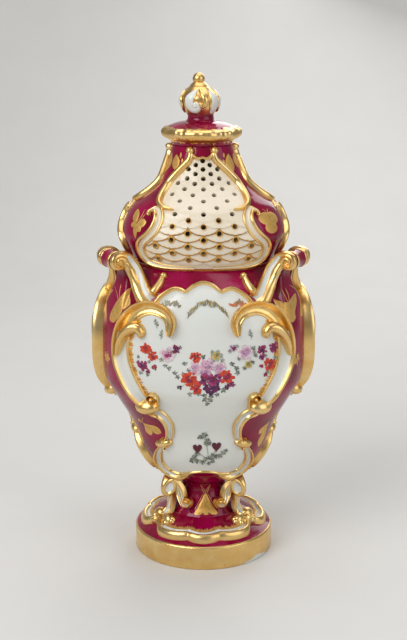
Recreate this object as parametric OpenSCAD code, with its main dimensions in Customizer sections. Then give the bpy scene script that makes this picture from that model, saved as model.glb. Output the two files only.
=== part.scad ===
// Three-sided potpourri vase with a pierced lift-off cover.
// Millimetres, +Z up. The origin is the centre of the resting face and the front panel faces -Y.

/* [Plinth] */
// Radius of the gilded band
plinth_r = 44.5; // [43:0.5:50]
// Height of the gilded band
plinth_band_h = 15; // [12:0.5:20]
// Rise of the top from the band to the seat of the stem
plinth_rise = 11; // [8:0.5:14]
// Width of the ring that the vase stands on
foot_ring_w = 7; // [5:0.5:10]
// Depth of the hollow under the plinth
plinth_hollow = 10; // [6:0.5:14]
// Radius of the vent through the plinth and up the stem
vent_r = 6; // [3:0.5:9]
// Height of the moulded lip round each base shell
lip_h = 4.5; // [3:0.5:6]

/* [Stem and legs] */
// Radius of the stem where it stands on the plinth
stem_foot_r = 22; // [20:0.5:23]
// Radius of the stem at its narrowest
stem_waist_r = 15; // [13:0.5:17]
// Radius of the stem under the body
stem_top_r = 19; // [17:0.5:21]
// Height of the stem
stem_h = 22; // [19:0.5:26]
// Width of a scroll leg at its knee
leg_w = 11; // [7:0.5:12]
// Thickness of a scroll leg
leg_t = 6.5; // [4:0.5:7]

/* [Body] */
// Mean radius of the belly
belly_r = 62; // [58:0.5:66]
// Height from the stem to the seat of the cover
body_h = 143; // [135:1:155]
// Thickness of the wall
body_wall = 4.5; // [3:0.5:6]
// Flattening of the three faces, as a share of the radius
face_flat = 0.08; // [0.04:0.01:0.1]
// Radius of the mouth
mouth_r = 33; // [30:0.5:35]
// Depth of the straight neck inside the mouth
mouth_depth = 9; // [8:0.5:12]
// Height that the widest scrolls of a panel frame stand off the body
frame_relief = 7; // [4:0.5:8]

/* [Handles] */
// Radius of a handle's roll
roll_r = 5.6; // [4.5:0.1:6.5]
// Length of a roll between its two brackets
roll_l = 13.5; // [12:0.5:20]
// Height of a roll's centre above the seat of the cover
roll_rise = 5.6; // [4:0.1:8]
// Distance of a roll's centre inside the belly's corner
roll_inset = 3; // [2:0.5:5]
// Radius of the boss at each end of a roll
boss_r = 6.6; // [6.6:0.1:8]
// Thickness of a bracket and of its boss
bracket_t = 5; // [4:0.5:6]

/* [Cover] */
// Mean radius of the cover's rim on its seat
seat_r = 42; // [40:0.5:44]
// Mean radius of the cover at its widest
cover_r = 49.3; // [47:0.1:52]
// Radius of the cover under the collar
cover_top_r = 18.5; // [17:0.5:20]
// Height of the cover from its seat to the collar
cover_h = 71; // [66:1:76]
// Thickness of the wall
cover_wall = 4; // [3:0.5:5]
// Diameter of a scent hole
hole_d = 3; // [2:0.1:3.2]
// Number of rows of scent holes
hole_rows = 18; // [12:1:20]
// Angle between two holes of a row
hole_step = 23; // [20:0.5:26]
// Depth that the locating flange reaches into the mouth
flange_depth = 7; // [4:0.5:7]
// Thickness of the locating flange
flange_t = 3.5; // [2.5:0.5:5]
// Clearance between the flange and the mouth
flange_gap = 0.6; // [0.4:0.1:1.2]
// Height that the panel ribs stand off the cover
rib_relief = 1.8; // [1:0.1:2.5]

/* [Collar and finial] */
// Radius of the collar's rounded rim
collar_r = 24.4; // [22.5:0.1:27]
// Height of the collar
collar_h = 14; // [12:0.5:16]
// Radius of the finial's neck
neck_r = 8; // [6:0.5:9]
// Height of the finial's neck
neck_h = 4.5; // [3:0.5:6]
// Radius of the bud
bud_r = 11.3; // [10:0.1:13]
// Height of the bud
bud_h = 16.5; // [14:0.5:19]
// Radius of the tip's ball
tip_r = 3.7; // [3:0.1:4.5]
// Height of the tip
tip_h = 8; // [7.5:0.5:10]

/* [Hidden] */
// Depth that a luted piece beds into the piece that carries it
lute = 0.3;
// Points round the body and the cover, rows up them, and steps between two points of a scroll
around = 42;
body_rows = 19;
cover_rows = 15;
scroll_steps = 2;
$fn = 64;

face_names = ["front", "right", "left"];
face_turns = [0, 120, -120];
corner_names = ["right", "left", "back"];
corner_turns = [60, -60, 180];

// Heights that follow from the sizes above
stem_z = plinth_band_h + plinth_rise;
body_z = stem_z + stem_h;
seat_z = body_z + body_h;
collar_z = seat_z + cover_h;
neck_z = collar_z + collar_h;
bud_z = neck_z + neck_h;
tip_z = bud_z + bud_h;
roll_z = seat_z + roll_rise;
roll_reach = belly_r * (1 + face_flat) - roll_inset;
flange_r = mouth_r - flange_gap;

// Outlines as [share of the height, radius]
body_outline = [
    [0, stem_top_r], [0.063, 0.476 * belly_r], [0.154, 0.62 * belly_r], [0.294, 0.73 * belly_r],
    [0.406, 0.865 * belly_r], [0.503, 0.974 * belly_r], [0.68, belly_r], [0.818, 0.968 * belly_r],
    [0.909, 0.871 * belly_r], [0.958, 0.45 * belly_r + 0.47 * seat_r], [1, seat_r]];
body_flats = [[0, 0.25 * face_flat], [0.3, 0.75 * face_flat], [0.7, face_flat], [1, 0.6 * face_flat]];
cover_outline = [
    [0, seat_r], [0.106, 0.925 * cover_r], [0.211, 0.986 * cover_r], [0.282, cover_r],
    [0.366, 0.978 * cover_r], [0.465, 0.913 * cover_r], [0.521, 0.848 * cover_r],
    [0.606, 0.69 * cover_r], [0.69, 0.56 * cover_r], [0.775, 0.483 * cover_r],
    [0.873, 0.2 * cover_r + 0.6 * cover_top_r], [1, cover_top_r]];
cover_flats = [[0, 0.6 * face_flat], [0.3, 0.75 * face_flat], [0.6, 0.5 * face_flat], [1, 0]];
stem_outline = [
    [0, stem_foot_r], [0.2, 0.45 * stem_foot_r + 0.6 * stem_waist_r], [0.45, 1.13 * stem_waist_r],
    [0.72, stem_waist_r], [0.89, 1.08 * stem_waist_r], [1, stem_top_r]];
bud_outline = [
    [0, 0.75 * bud_r], [0.25, 0.93 * bud_r], [0.56, bud_r], [0.74, 0.87 * bud_r], [1, 0.5 * bud_r]];

// Half width of a pierced panel in degrees, by share of the cover's height
panel_half_width = [
    [0.03, 32], [0.1, 45], [0.2, 45], [0.3, 37], [0.42, 31], [0.5, 34], [0.56, 39], [0.66, 46],
    [0.73, 45], [0.8, 36], [0.87, 27], [0.97, 26]];

// Scroll lines of a panel's left half as [degrees from its middle, share of the height, width, relief]
crest_line = [
    [-25.5, 0.928, 2, 1.5], [-19.8, 0.942, 2.4, 2], [-15.8, 0.941, 2.4, 2], [-11.3, 0.937, 2.4, 2],
    [-6.4, 0.956, 2.4, 2], [0, 0.966, 2.4, 2]];
upper_line = [
    [-18.6, 0.772, 2.5, 1.6], [-17.6, 0.813, 4.5, 2.8], [-21.7, 0.848, 5.5, 3.5],
    [-28.9, 0.864, 6, 0.6 * frame_relief], [-35.7, 0.862, 6, 0.7 * frame_relief],
    [-42, 0.845, 6, 0.85 * frame_relief], [-47, 0.808, 6, 0.95 * frame_relief],
    [-51, 0.754, 6, frame_relief],
    [-51.6, 0.684, 6, frame_relief], [-51, 0.628, 6, frame_relief], [-48.4, 0.566, 6, 0.95 * frame_relief],
    [-44.5, 0.504, 6, 0.85 * frame_relief], [-41, 0.455, 6, 0.75 * frame_relief],
    [-35.6, 0.434, 5.5, 3.6], [-30.5, 0.444, 4.5, 3], [-28.4, 0.478, 2.5, 1.8]];
leaf_line = [[-46.3, 0.735, 2.2, 1.2], [-44.6, 0.772, 4, 2.6], [-41, 0.787, 4, 3], [-37.4, 0.783, 3, 2.4],
    [-36, 0.765, 1.6, 1.4]];
lower_line = [
    [-38.5, 0.394, 4, 2.6], [-34, 0.399, 5, 3.2], [-29.7, 0.391, 5, 3.2], [-26.6, 0.362, 5, 3.2],
    [-26.2, 0.321, 5, 3.2], [-27.9, 0.278, 4.5, 3], [-31.5, 0.247, 2.5, 2]];
foot_line = [
    [-36.5, 0.218, 2.5, 2], [-42.5, 0.174, 4.5, 3], [-46.5, 0.122, 5, 3.2], [-44, 0.08, 5, 3],
    [-33, 0.064, 4, 2.6], [-20, 0.063, 2.4, 1.8], [0, 0.066, 2, 1.4]];
rib_line = [
    [-28, 0.955, 3, 1], [-26.4, 0.87, 2.2, 1], [-39, 0.79, 2.4, 1], [-48, 0.714, 2.4, 1],
    [-46.6, 0.635, 2.6, 1], [-40.4, 0.563, 3, 1]];
curl_line = [
    [-43.5, 0.495, 1.6, 0.8], [-38.6, 0.509, 2.6, 1.2], [-33.6, 0.471, 3, 1.2], [-32.4, 0.414, 3, 1.1],
    [-34.8, 0.344, 2.8, 1], [-39, 0.29, 2.8, 1], [-45, 0.24, 2.8, 1], [-48, 0.18, 2.8, 1],
    [-48, 0.105, 2.6, 1], [-44, 0.062, 2.4, 0.9], [-36, 0.045, 2, 0.8]];
petal_line = [
    [0, 0.06, 3, 0.9], [8, 0.25, 6, 1.3], [10, 0.5, 6.5, 1.3], [2, 0.72, 4.5, 1], [-6, 0.86, 1.5, 0.6]];
bud_leaves = 6;

// Curves

// Slope of an outline at its point i
function slope(p, i) =
    let (a = max(i - 1, 0), b = min(i + 1, len(p) - 1)) (p[b][1] - p[a][1]) / (p[b][0] - p[a][0]);

// Index of the span of an outline that holds the share v
function span(p, v, i = 0) = i >= len(p) - 2 || v <= p[i + 1][0] ? i : span(p, v, i + 1);

// Smooth value of an outline at the share v
function outline_at(p, v) =
    let (i = span(p, v), h = p[i + 1][0] - p[i][0], t = (v - p[i][0]) / h)
    (1 + 2 * t) * pow(1 - t, 2) * p[i][1] + t * pow(1 - t, 2) * h * slope(p, i)
    + t * t * (3 - 2 * t) * p[i + 1][1] + t * t * (t - 1) * h * slope(p, i + 1);

// Smooth line through control points, with a number of steps between two points
function smooth_line(p, steps) = [
    for (k = [0 : (len(p) - 1) * steps])
        let (i = min(floor(k / steps), len(p) - 2), t = k / steps - i)
        let (p0 = p[max(i - 1, 0)], p1 = p[i], p2 = p[i + 1], p3 = p[min(i + 2, len(p) - 1)])
        (2 * p1 + (p2 - p0) * t + (2 * p0 - 5 * p1 + 4 * p2 - p3) * t * t
            + (3 * p1 - p0 - 3 * p2 + p3) * t * t * t) / 2];

// Line from the left to the middle, carried on to the right as its mirror image
function mirrored(line) = concat(line, [
    for (i = [len(line) - 2 : -1 : 0]) [-line[i][0], line[i][1], line[i][2], line[i][3]]]);

function unit(v) = v / norm(v);

// Direction of a line of points at its point i
function heading(p, i) = unit(p[min(i + 1, len(p) - 1)] - p[max(i - 1, 0)]);

// Surfaces, by degrees from a panel's middle and share of the height

function body_radius(a, v) = outline_at(body_outline, v) * (1 - outline_at(body_flats, v) * cos(3 * a));
function cover_radius(a, v) = outline_at(cover_outline, v) * (1 - outline_at(cover_flats, v) * cos(3 * a));
function polar(r, a, z) = [r * sin(a), -r * cos(a), z];
on_body = function (a, v) polar(body_radius(a, v), a, body_z + v * body_h);
on_cover = function (a, v) polar(cover_radius(a, v), a, seat_z + v * cover_h);
on_bud = function (a, v) polar(outline_at(bud_outline, v), a, bud_z + v * bud_h);

// Outward direction of a surface
function outward(ground, a, v) =
    let (c = ground(a, v)) unit(cross(ground(a + 0.5, v) - c, ground(a, v + 0.002) - c));

// Height of the plinth's sloping top at radius r
function plinth_top(r) = plinth_band_h + plinth_rise * (plinth_r - r) / (plinth_r - stem_foot_r);

// Solids

// Solid through a row of rings that all have the same number of points
module skin(rings) {
    n = len(rings[0]);
    last = (len(rings) - 1) * n;
    sides = [
        for (i = [0 : len(rings) - 2], j = [0 : n - 1])
            let (a = i * n + j, b = i * n + (j + 1) % n)
            each [[a, a + n, b + n], [a, b + n, b]]];
    ends = [for (j = [1 : n - 2]) each [[0, j, j + 1], [last, last + j + 1, last + j]]];
    polyhedron([for (ring = rings) each ring], concat(sides, ends));
}

// Rounded scroll in relief along a line on a surface, with relief heights times gain
module relief_scroll(ground, line, gain = 1) {
    section = [[-1, -1], [-1, 0.45], [-0.5, 1], [0.5, 1], [1, 0.45], [1, -1]];
    way = smooth_line(line, scroll_steps);
    centre = [for (q = way) ground(q[0], q[1])];
    skin([for (i = [0 : len(way) - 1])
        let (out = outward(ground, way[i][0], way[i][1]), side = unit(cross(heading(centre, i), out)))
        [for (s = section)
            let (rise = s[1] < 0 ? -lute : s[1] * way[i][3] * gain)
            centre[i] + side * s[0] * way[i][2] / 2 + out * rise]]);
}

// Strap along a line of [x, y, z, width, thickness], its width lying along the X axis
module strap(line) {
    section = [[1, 0.5], [0.5, 1], [-0.5, 1], [-1, 0.5], [-1, -0.5], [-0.5, -1], [0.5, -1], [1, -0.5]];
    way = smooth_line(line, scroll_steps);
    centre = [for (q = way) [q[0], q[1], q[2]]];
    skin([for (i = [0 : len(way) - 1])
        let (along = heading(centre, i), wide = unit([1, 0, 0] - along * along[0]))
        let (thick = cross(along, wide))
        [for (s = section) centre[i] + wide * s[0] * way[i][3] / 2 + thick * s[1] * way[i][4] / 2]]);
}

module both_sides() {
    children();
    mirror([1, 0, 0]) children();
}

// Sub-parts

module plinth() {
    foot_in = plinth_r - foot_ring_w;
    edge = 0.8;
    color("darkgoldenrod") rotate_extrude()
        polygon([
            [foot_in, 0], [plinth_r, 0], [plinth_r, plinth_band_h - edge],
            [plinth_r - edge, plinth_top(plinth_r - edge)], [stem_foot_r, stem_z], [vent_r, stem_z],
            [vent_r, plinth_hollow], [foot_in - edge, plinth_hollow]]);
}

module stem() {
    rows = 14;
    color("maroon") rotate_extrude()
        polygon(concat(
            [for (i = [0 : rows]) [outline_at(stem_outline, i / rows), stem_z + stem_h * i / rows]],
            [[vent_r, body_z], [vent_r, stem_z]]));
}

// Raised shell on the plinth's slope, with a three-lobed moulded lip
module base_shell() {
    half_angle = 45;
    steps = 24;
    field_h = 2;
    inner = stem_foot_r + 1.5;
    lobe = 2.2;
    edge_r = plinth_r - 5.6;
    color("maroon") skin([
        for (k = [0 : steps])
            let (a = half_angle * (1 - 2 * k / steps), share = abs(a) / half_angle)
            let (r = edge_r + lobe * abs(cos(a * 270 / half_angle)) - 4 * pow(share, 6))
            [for (p = [
                [inner, -lute], [inner, field_h], [r - 4.5, field_h], [r - 3.2, field_h - 0.6],
                [r - 2.4, lip_h], [r - 0.8, lip_h], [r + 0.4, 0.6 * lip_h], [r + 0.4, -lute]])
                polar(p[0], a, plinth_top(p[0]) + p[1])]]);
}

// Scroll leg from under the body, out over a knee and down to the plinth, in the frame of a corner
module scroll_leg() {
    top_r = body_radius(60, 0.03);
    knee_r = stem_foot_r + 8;
    toe_r = stem_foot_r + 6.5;
    toe_z = plinth_top(toe_r);
    color("goldenrod") strap([
        [0, -top_r, body_z + 0.03 * body_h - lute, 0.8 * leg_w, leg_t],
        [0, -0.25 * top_r - 0.75 * knee_r, body_z - 0.12 * stem_h, 0.95 * leg_w, leg_t],
        [0, -knee_r, body_z - 0.42 * stem_h, leg_w, leg_t],
        [0, -knee_r + 2.5, toe_z + 0.35 * (body_z - toe_z), 0.8 * leg_w, 0.9 * leg_t],
        [0, -toe_r + 0.8, toe_z + 2.5, 0.7 * leg_w, 0.8 * leg_t],
        [0, -toe_r, toe_z - lute, 0.8 * leg_w, leg_t]]);
}

// Hollow three-sided body, open at the mouth
module body_shell() {
    floor_at = 0.05;
    inner_top = 0.9;
    inner_rows = 11;
    neck_r_rough = mouth_r - 1.5;
    turn = 360 / around;
    outer = [for (i = [0 : body_rows]) [for (j = [0 : around - 1]) on_body(j * turn, i / body_rows)]];
    neck = [for (p = [[neck_r_rough, 0], [neck_r_rough, mouth_depth], [mouth_r + 9, mouth_depth + 1]])
        [for (j = [0 : around - 1]) polar(p[0], j * turn, seat_z - p[1])]];
    inner = [for (i = [0 : inner_rows])
        let (v = inner_top + (floor_at - inner_top) * i / inner_rows)
        [for (j = [0 : around - 1])
            polar(body_radius(j * turn, v) - body_wall, j * turn, body_z + v * body_h)]];
    color("maroon") difference() {
        skin(concat(outer, neck, inner));
        translate([0, 0, seat_z - mouth_depth - 3]) cylinder(r = mouth_r, h = mouth_depth + 6);
    }
}

// Three-lobed moulding over the top of a panel
module panel_crest() {
    color("gold") relief_scroll(on_body, mirrored(crest_line));
}

// Two large C-scrolls with their leaves
module upper_scrolls() {
    color("gold") both_sides() {
        relief_scroll(on_body, upper_line);
        relief_scroll(on_body, leaf_line);
    }
}

// Two S-scrolls, and the foot moulding that joins two C-scrolls under the panel
module lower_scrolls() {
    color("gold") {
        both_sides() relief_scroll(on_body, lower_line);
        relief_scroll(on_body, mirrored(foot_line));
    }
}

// Upright web that carries a roll on the shoulder, in the frame of a corner
module handle_ear() {
    columns = 8;
    outer_v = 0.83;
    inner_v = 0.9;
    foot_half_angle = 11;
    top_half = 0.48 * roll_l;
    top_half_t = 2.8;
    bed = lute / 2;
    edge_z = roll_z - sqrt(pow(roll_r, 2) - pow(top_half_t, 2)) + bed;
    color("maroon") skin([
        for (j = [0 : columns])
            let (s = 2 * j / columns - 1, a = s * foot_half_angle, x = s * top_half)
            [
                polar(body_radius(60 + a, outer_v) - bed, a, body_z + outer_v * body_h),
                [x, -roll_reach - top_half_t, edge_z],
                [x, -roll_reach, roll_z - roll_r + bed],
                [x, -roll_reach + top_half_t, edge_z],
                polar(body_radius(60 + a, inner_v) - bed, a, body_z + inner_v * body_h)]]);
}

// Pair of scroll brackets that hold a roll's ends, in the frame of a corner
module handle_brackets() {
    foot_a = 27;
    foot_v = 0.9;
    foot = polar(body_radius(60 + foot_a, foot_v), foot_a, body_z + foot_v * body_h);
    end_x = (roll_l + bracket_t) / 2;
    end = [end_x, -roll_reach, roll_z];
    wide = 1.5 * bracket_t;
    color("gold") both_sides() {
        strap([
            [each foot, bracket_t, 1.2 * wide],
            [each foot + 0.3 * (end - foot) + [-0.6, -1.5, 1], bracket_t, wide],
            [each foot + 0.65 * (end - foot) + [-1.2, 0.6, 1.2], bracket_t, wide],
            [each end, bracket_t, wide]]);
        translate([roll_l / 2, -roll_reach, roll_z]) rotate([0, 90, 0]) cylinder(r = boss_r, h = bracket_t);
    }
}

module handle_roll() {
    color("maroon") translate([-roll_l / 2, -roll_reach, roll_z])
        rotate([0, 90, 0]) cylinder(r = roll_r, h = roll_l);
}

// Angle and share of the height of every scent hole in one panel
function panel_holes() = [
    for (i = [0 : hole_rows - 1], j = [-2 : 2])
        let (t = i / (hole_rows - 1), v = 0.111 + 0.779 * (1.28 * t - 0.28 * t * t))
        let (a = (j + ((i + 1) % 2) / 2) * hole_step)
        if (abs(a) < outline_at(panel_half_width, v) - 5) [a, v]];

// Hollow cover, open underneath and pierced in three panels
module cover_shell() {
    roof_at = 0.93;
    inner_from = 0.12;
    inner_rows = 9;
    root_h = 4;
    bore = flange_r + 0.2;
    turn = 360 / around;
    inner = [for (i = [0 : inner_rows])
        let (v = roof_at + (inner_from - roof_at) * i / inner_rows)
        [for (j = [0 : around - 1])
            polar(cover_radius(j * turn, v) - cover_wall, j * turn, seat_z + v * cover_h)]];
    rim = [for (z = [root_h, 0]) [for (j = [0 : around - 1]) polar(bore, j * turn, seat_z + z)]];
    outer = [for (i = [0 : cover_rows]) [for (j = [0 : around - 1]) on_cover(j * turn, i / cover_rows)]];
    color("mintcream") difference() {
        skin(concat(inner, rim, outer));
        for (turn_to = face_turns, h = panel_holes())
            let (out = outward(on_cover, h[0], h[1]))
            rotate([0, 0, turn_to]) translate(on_cover(h[0], h[1]))
                rotate([0, acos(out[2]), atan2(out[1], out[0])])
                hull() cylinder(d = hole_d, h = 4 * cover_wall, center = true, $fn = 6);
    }
}

// Ring under the cover that drops into the mouth
module cover_flange() {
    root_h = 3.5;
    color("white") translate([0, 0, seat_z]) rotate_extrude()
        polygon([
            [flange_r - flange_t, -flange_depth], [flange_r - 0.5, -flange_depth],
            [flange_r, -flange_depth + 1], [flange_r, root_h], [flange_r - flange_t, root_h]]);
}

// Two ribs from the collar down to a panel's waist
module cover_ribs() {
    color("gold") both_sides() relief_scroll(on_cover, rib_line, rib_relief);
}

// Two curls round the lower half of a panel
module cover_curls() {
    color("gold") both_sides() relief_scroll(on_cover, curl_line, rib_relief);
}

// Disc with a half-round rim and a slightly domed top
module collar() {
    rim_r = 0.3 * collar_h;
    rim_z = 0.5 * collar_h;
    color("goldenrod") translate([0, 0, collar_z]) rotate_extrude()
        polygon(concat(
            [[0, 0], [cover_top_r, 0], [0.5 * (cover_top_r + collar_r - rim_r), 0.12 * collar_h]],
            [for (a = [-60 : 15 : 75]) [collar_r - rim_r + rim_r * cos(a), rim_z + rim_r * sin(a)]],
            [[0.6 * collar_r, 0.93 * collar_h], [neck_r + 1, collar_h], [0, collar_h]]));
}

module finial_neck() {
    color("maroon") translate([0, 0, neck_z]) cylinder(r = neck_r, h = neck_h);
}

module finial_bud() {
    rows = 12;
    color("gold") translate([0, 0, bud_z]) rotate_extrude()
        polygon(concat(
            [[0, 0]],
            [for (i = [0 : rows]) [outline_at(bud_outline, i / rows), bud_h * i / rows]],
            [[0, bud_h]]));
}

// Overlapping petals round the bud
module finial_leaves() {
    color("white") for (i = [0 : bud_leaves - 1])
        rotate([0, 0, i * 360 / bud_leaves]) relief_scroll(on_bud, petal_line);
}

module finial_tip() {
    ball_z = tip_h - tip_r;
    color("gold") translate([0, 0, tip_z]) rotate_extrude()
        polygon(concat(
            [[0, 0], [0.48 * bud_r, 0], [0.75 * tip_r, 0.25 * tip_h]],
            [for (a = [-40 : 13 : 90]) [tip_r * cos(a), ball_z + tip_r * sin(a)]]));
}

plinth();
stem();
body_shell();
for (i = [0 : 2]) rotate([0, 0, face_turns[i]]) {
    base_shell();
    panel_crest();
    upper_scrolls();
    lower_scrolls();
    cover_ribs();
    cover_curls();
}
for (i = [0 : 2]) rotate([0, 0, corner_turns[i]]) {
    scroll_leg();
    handle_ear();
    handle_brackets();
    handle_roll();
}
cover_shell();
cover_flange();
collar();
finial_neck();
finial_bud();
finial_leaves();
finial_tip();
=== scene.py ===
"""Dresses a three-sided potpourri vase: glazed porcelain, claret ground, painted flowers and gilding."""

import logging
import math
import random
from dataclasses import dataclass, field
from enum import Enum
from typing import Iterable, Sequence

import bmesh
import bpy
import numpy as np
from mathutils.bvhtree import BVHTree
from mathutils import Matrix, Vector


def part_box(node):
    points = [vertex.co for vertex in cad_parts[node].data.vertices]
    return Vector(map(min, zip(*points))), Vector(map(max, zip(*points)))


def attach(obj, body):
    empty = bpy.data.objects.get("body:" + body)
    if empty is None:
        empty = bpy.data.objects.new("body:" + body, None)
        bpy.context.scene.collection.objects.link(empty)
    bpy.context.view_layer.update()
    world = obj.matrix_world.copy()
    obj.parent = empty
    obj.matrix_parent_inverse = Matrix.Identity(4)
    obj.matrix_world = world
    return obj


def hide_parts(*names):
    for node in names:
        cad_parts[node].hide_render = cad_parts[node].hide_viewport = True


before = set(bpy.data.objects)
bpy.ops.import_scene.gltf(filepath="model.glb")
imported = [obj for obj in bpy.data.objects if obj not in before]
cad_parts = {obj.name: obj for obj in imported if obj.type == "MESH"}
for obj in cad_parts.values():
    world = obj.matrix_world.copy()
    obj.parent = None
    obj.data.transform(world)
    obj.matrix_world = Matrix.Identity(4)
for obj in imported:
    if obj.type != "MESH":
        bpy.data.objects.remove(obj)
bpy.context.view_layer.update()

LOG = logging.getLogger("potpourri_vase")
MM = 0.001
# The cover's neck and finial sank a little to one side in the kiln: by how much, from which level and over
# what rise, in millimetres, and how late the lean sets in.
KILN_LEAN = 2.9
LEAN_FROM = 240.0
LEAN_RISE = 60.0
LEAN_POWER = 1.2
# Steps to either side that find a wall's directions, in degrees and as a share of its height.
PROBE_DEG = 0.3
PROBE_SHARE = 0.004
# Millimetres to a degree in the flat outlines of the body's and of the cover's panels.
BODY_DEG_MM = 1.08
COVER_DEG_MM = 0.8
# Radius that counts as a whole share on the plinth's slope, in millimetres.
SLOPE_SHARE = 100.0
Array = np.ndarray
Tint = tuple[float, float, float]


class Slot(Enum):
    """Material slots of the part."""

    GILDING = "gilding"
    CLARET = "claret_ground"
    WHITE = "white_glaze"


class Carrier(Enum):
    """Bodies that a piece can ride on."""

    VASE = "vase"
    COVER = "cover"


class Side(Enum):
    """Sides of the vase that share one form, each with the turn that brings the front to it."""

    @property
    def tag(self) -> str:
        """Name of the side as the nodes spell it."""
        return self.name.lower()


class Face(Side):
    """The three panels."""

    FRONT = 0.0
    RIGHT = 120.0
    LEFT = -120.0


class Corner(Side):
    """The three corners between the panels."""

    RIGHT = 60.0
    LEFT = -60.0
    BACK = 180.0


def linear(hex_code: str) -> tuple[float, float, float, float]:
    """Turns an sRGB hex value into linear colour.

    Args:
        hex_code: Colour such as "#7A0A34".

    Returns:
        Linear red, green, blue and an alpha of one.
    """
    parts = [int(hex_code[i:i + 2], 16) / 255 for i in (1, 3, 5)]
    red, green, blue = (c / 12.92 if c <= 0.04045 else ((c + 0.055) / 1.055) ** 2.4 for c in parts)
    return red, green, blue, 1.0


def paint(hex_code: str) -> Tint:
    """Linear paint colour of an sRGB hex value."""
    return linear(hex_code)[:3]


def cos_sin(degrees: float) -> tuple[float, float]:
    """Cosine and sine of an angle in degrees."""
    return math.cos(math.radians(degrees)), math.sin(math.radians(degrees))


def round_turns(count: int) -> Array:
    """Even angles round a circle, in radians."""
    return np.linspace(0, 2 * np.pi, count, endpoint=False)


def bearing(points: Array) -> Array:
    """Degrees of points round the upright axis, from the front."""
    return np.degrees(np.arctan2(points[..., 0], -points[..., 1]))


def matched(angle: Array, share: Array) -> Sequence[Array]:
    """Degrees and shares as arrays of one shape."""
    return np.broadcast_arrays(np.asarray(angle, float), np.asarray(share, float))


def level_ring(angle: Array, radius: float, z: float) -> Array:
    """Round level row of points at angles in degrees."""
    rad = np.radians(angle)
    return np.stack([radius * np.sin(rad), -radius * np.cos(rad), np.full_like(rad, z)], axis=-1)


def unit(vectors: Array) -> Array:
    """Vectors scaled to a length of one."""
    return vectors / np.maximum(np.linalg.norm(vectors, axis=-1, keepdims=True), 1e-9)


def ramp(values: Array, low: float, high: float) -> Array:
    """Smooth step from 0 at low to 1 at high."""
    t = np.clip((np.asarray(values, float) - low) / (high - low), 0, 1)
    return t * t * (3 - 2 * t)


def smooth_line(points: Sequence[Sequence[float]], steps: int) -> Array:
    """Runs a smooth curve through rows of numbers.

    Args:
        points: Rows that the curve passes through.
        steps: New rows in each gap.

    Returns:
        The denser rows.
    """
    rows = np.asarray(points, float)
    ends = np.vstack([2 * rows[0] - rows[1], rows, 2 * rows[-1] - rows[-2]])
    t = np.linspace(0, 1, steps, endpoint=False)[:, None]
    spans = []
    for a, b, c, d in zip(ends, ends[1:], ends[2:], ends[3:]):
        spans.append(0.5 * (2 * b + (c - a) * t + (2 * a - 5 * b + 4 * c - d) * t ** 2
                            + (3 * b - a - 3 * c + d) * t ** 3))
    return np.vstack([*spans, rows[-1:]])


def turned(points: Array, degrees: float) -> Array:
    """Points turned about the upright axis, anticlockwise from above.

    Args:
        points: Points to turn.
        degrees: The turn.

    Returns:
        The turned points.
    """
    c, s = cos_sin(degrees)
    return np.stack([points[..., 0] * c - points[..., 1] * s,
                     points[..., 0] * s + points[..., 1] * c, points[..., 2]], axis=-1)


def waves(angle: Array, seed: int, count: int = 5) -> Array:
    """Irregular but closed wave round a ring.

    Args:
        angle: Degrees round the ring.
        seed: Choice of wave.
        count: Sine waves that are added up.

    Returns:
        Values between about -1 and 1.
    """
    rng = random.Random(seed)
    total = np.zeros_like(np.asarray(angle, float))
    for _ in range(count):
        total = total + np.sin(np.radians(angle) * rng.randint(5, 34) + rng.uniform(0, 6.28)) / count
    return total * 1.6


@dataclass(frozen=True)
class Outline:
    """Smooth value along a height, through a few pairs of share and value."""

    points: tuple[tuple[float, float], ...]

    def at(self, share: Array) -> Array:
        """Value of the outline.

        Args:
            share: Places between the first and the last share.

        Returns:
            One value for each place.
        """
        xs, ys = np.array(self.points).T
        slopes = np.empty_like(xs)
        slopes[1:-1] = (ys[2:] - ys[:-2]) / (xs[2:] - xs[:-2])
        slopes[0] = (ys[1] - ys[0]) / (xs[1] - xs[0])
        slopes[-1] = (ys[-1] - ys[-2]) / (xs[-1] - xs[-2])
        share = np.clip(np.asarray(share, float), xs[0], xs[-1])
        i = np.clip(np.searchsorted(xs, share, side="right") - 1, 0, len(xs) - 2)
        span = xs[i + 1] - xs[i]
        t = (share - xs[i]) / span
        return (ys[i] * (1 + 2 * t) * (1 - t) ** 2 + slopes[i] * span * t * (1 - t) ** 2
                + ys[i + 1] * t * t * (3 - 2 * t) + slopes[i + 1] * span * t * t * (t - 1))


ROUND = Outline(((0.0, 0.0), (1.0, 0.0)))


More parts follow.
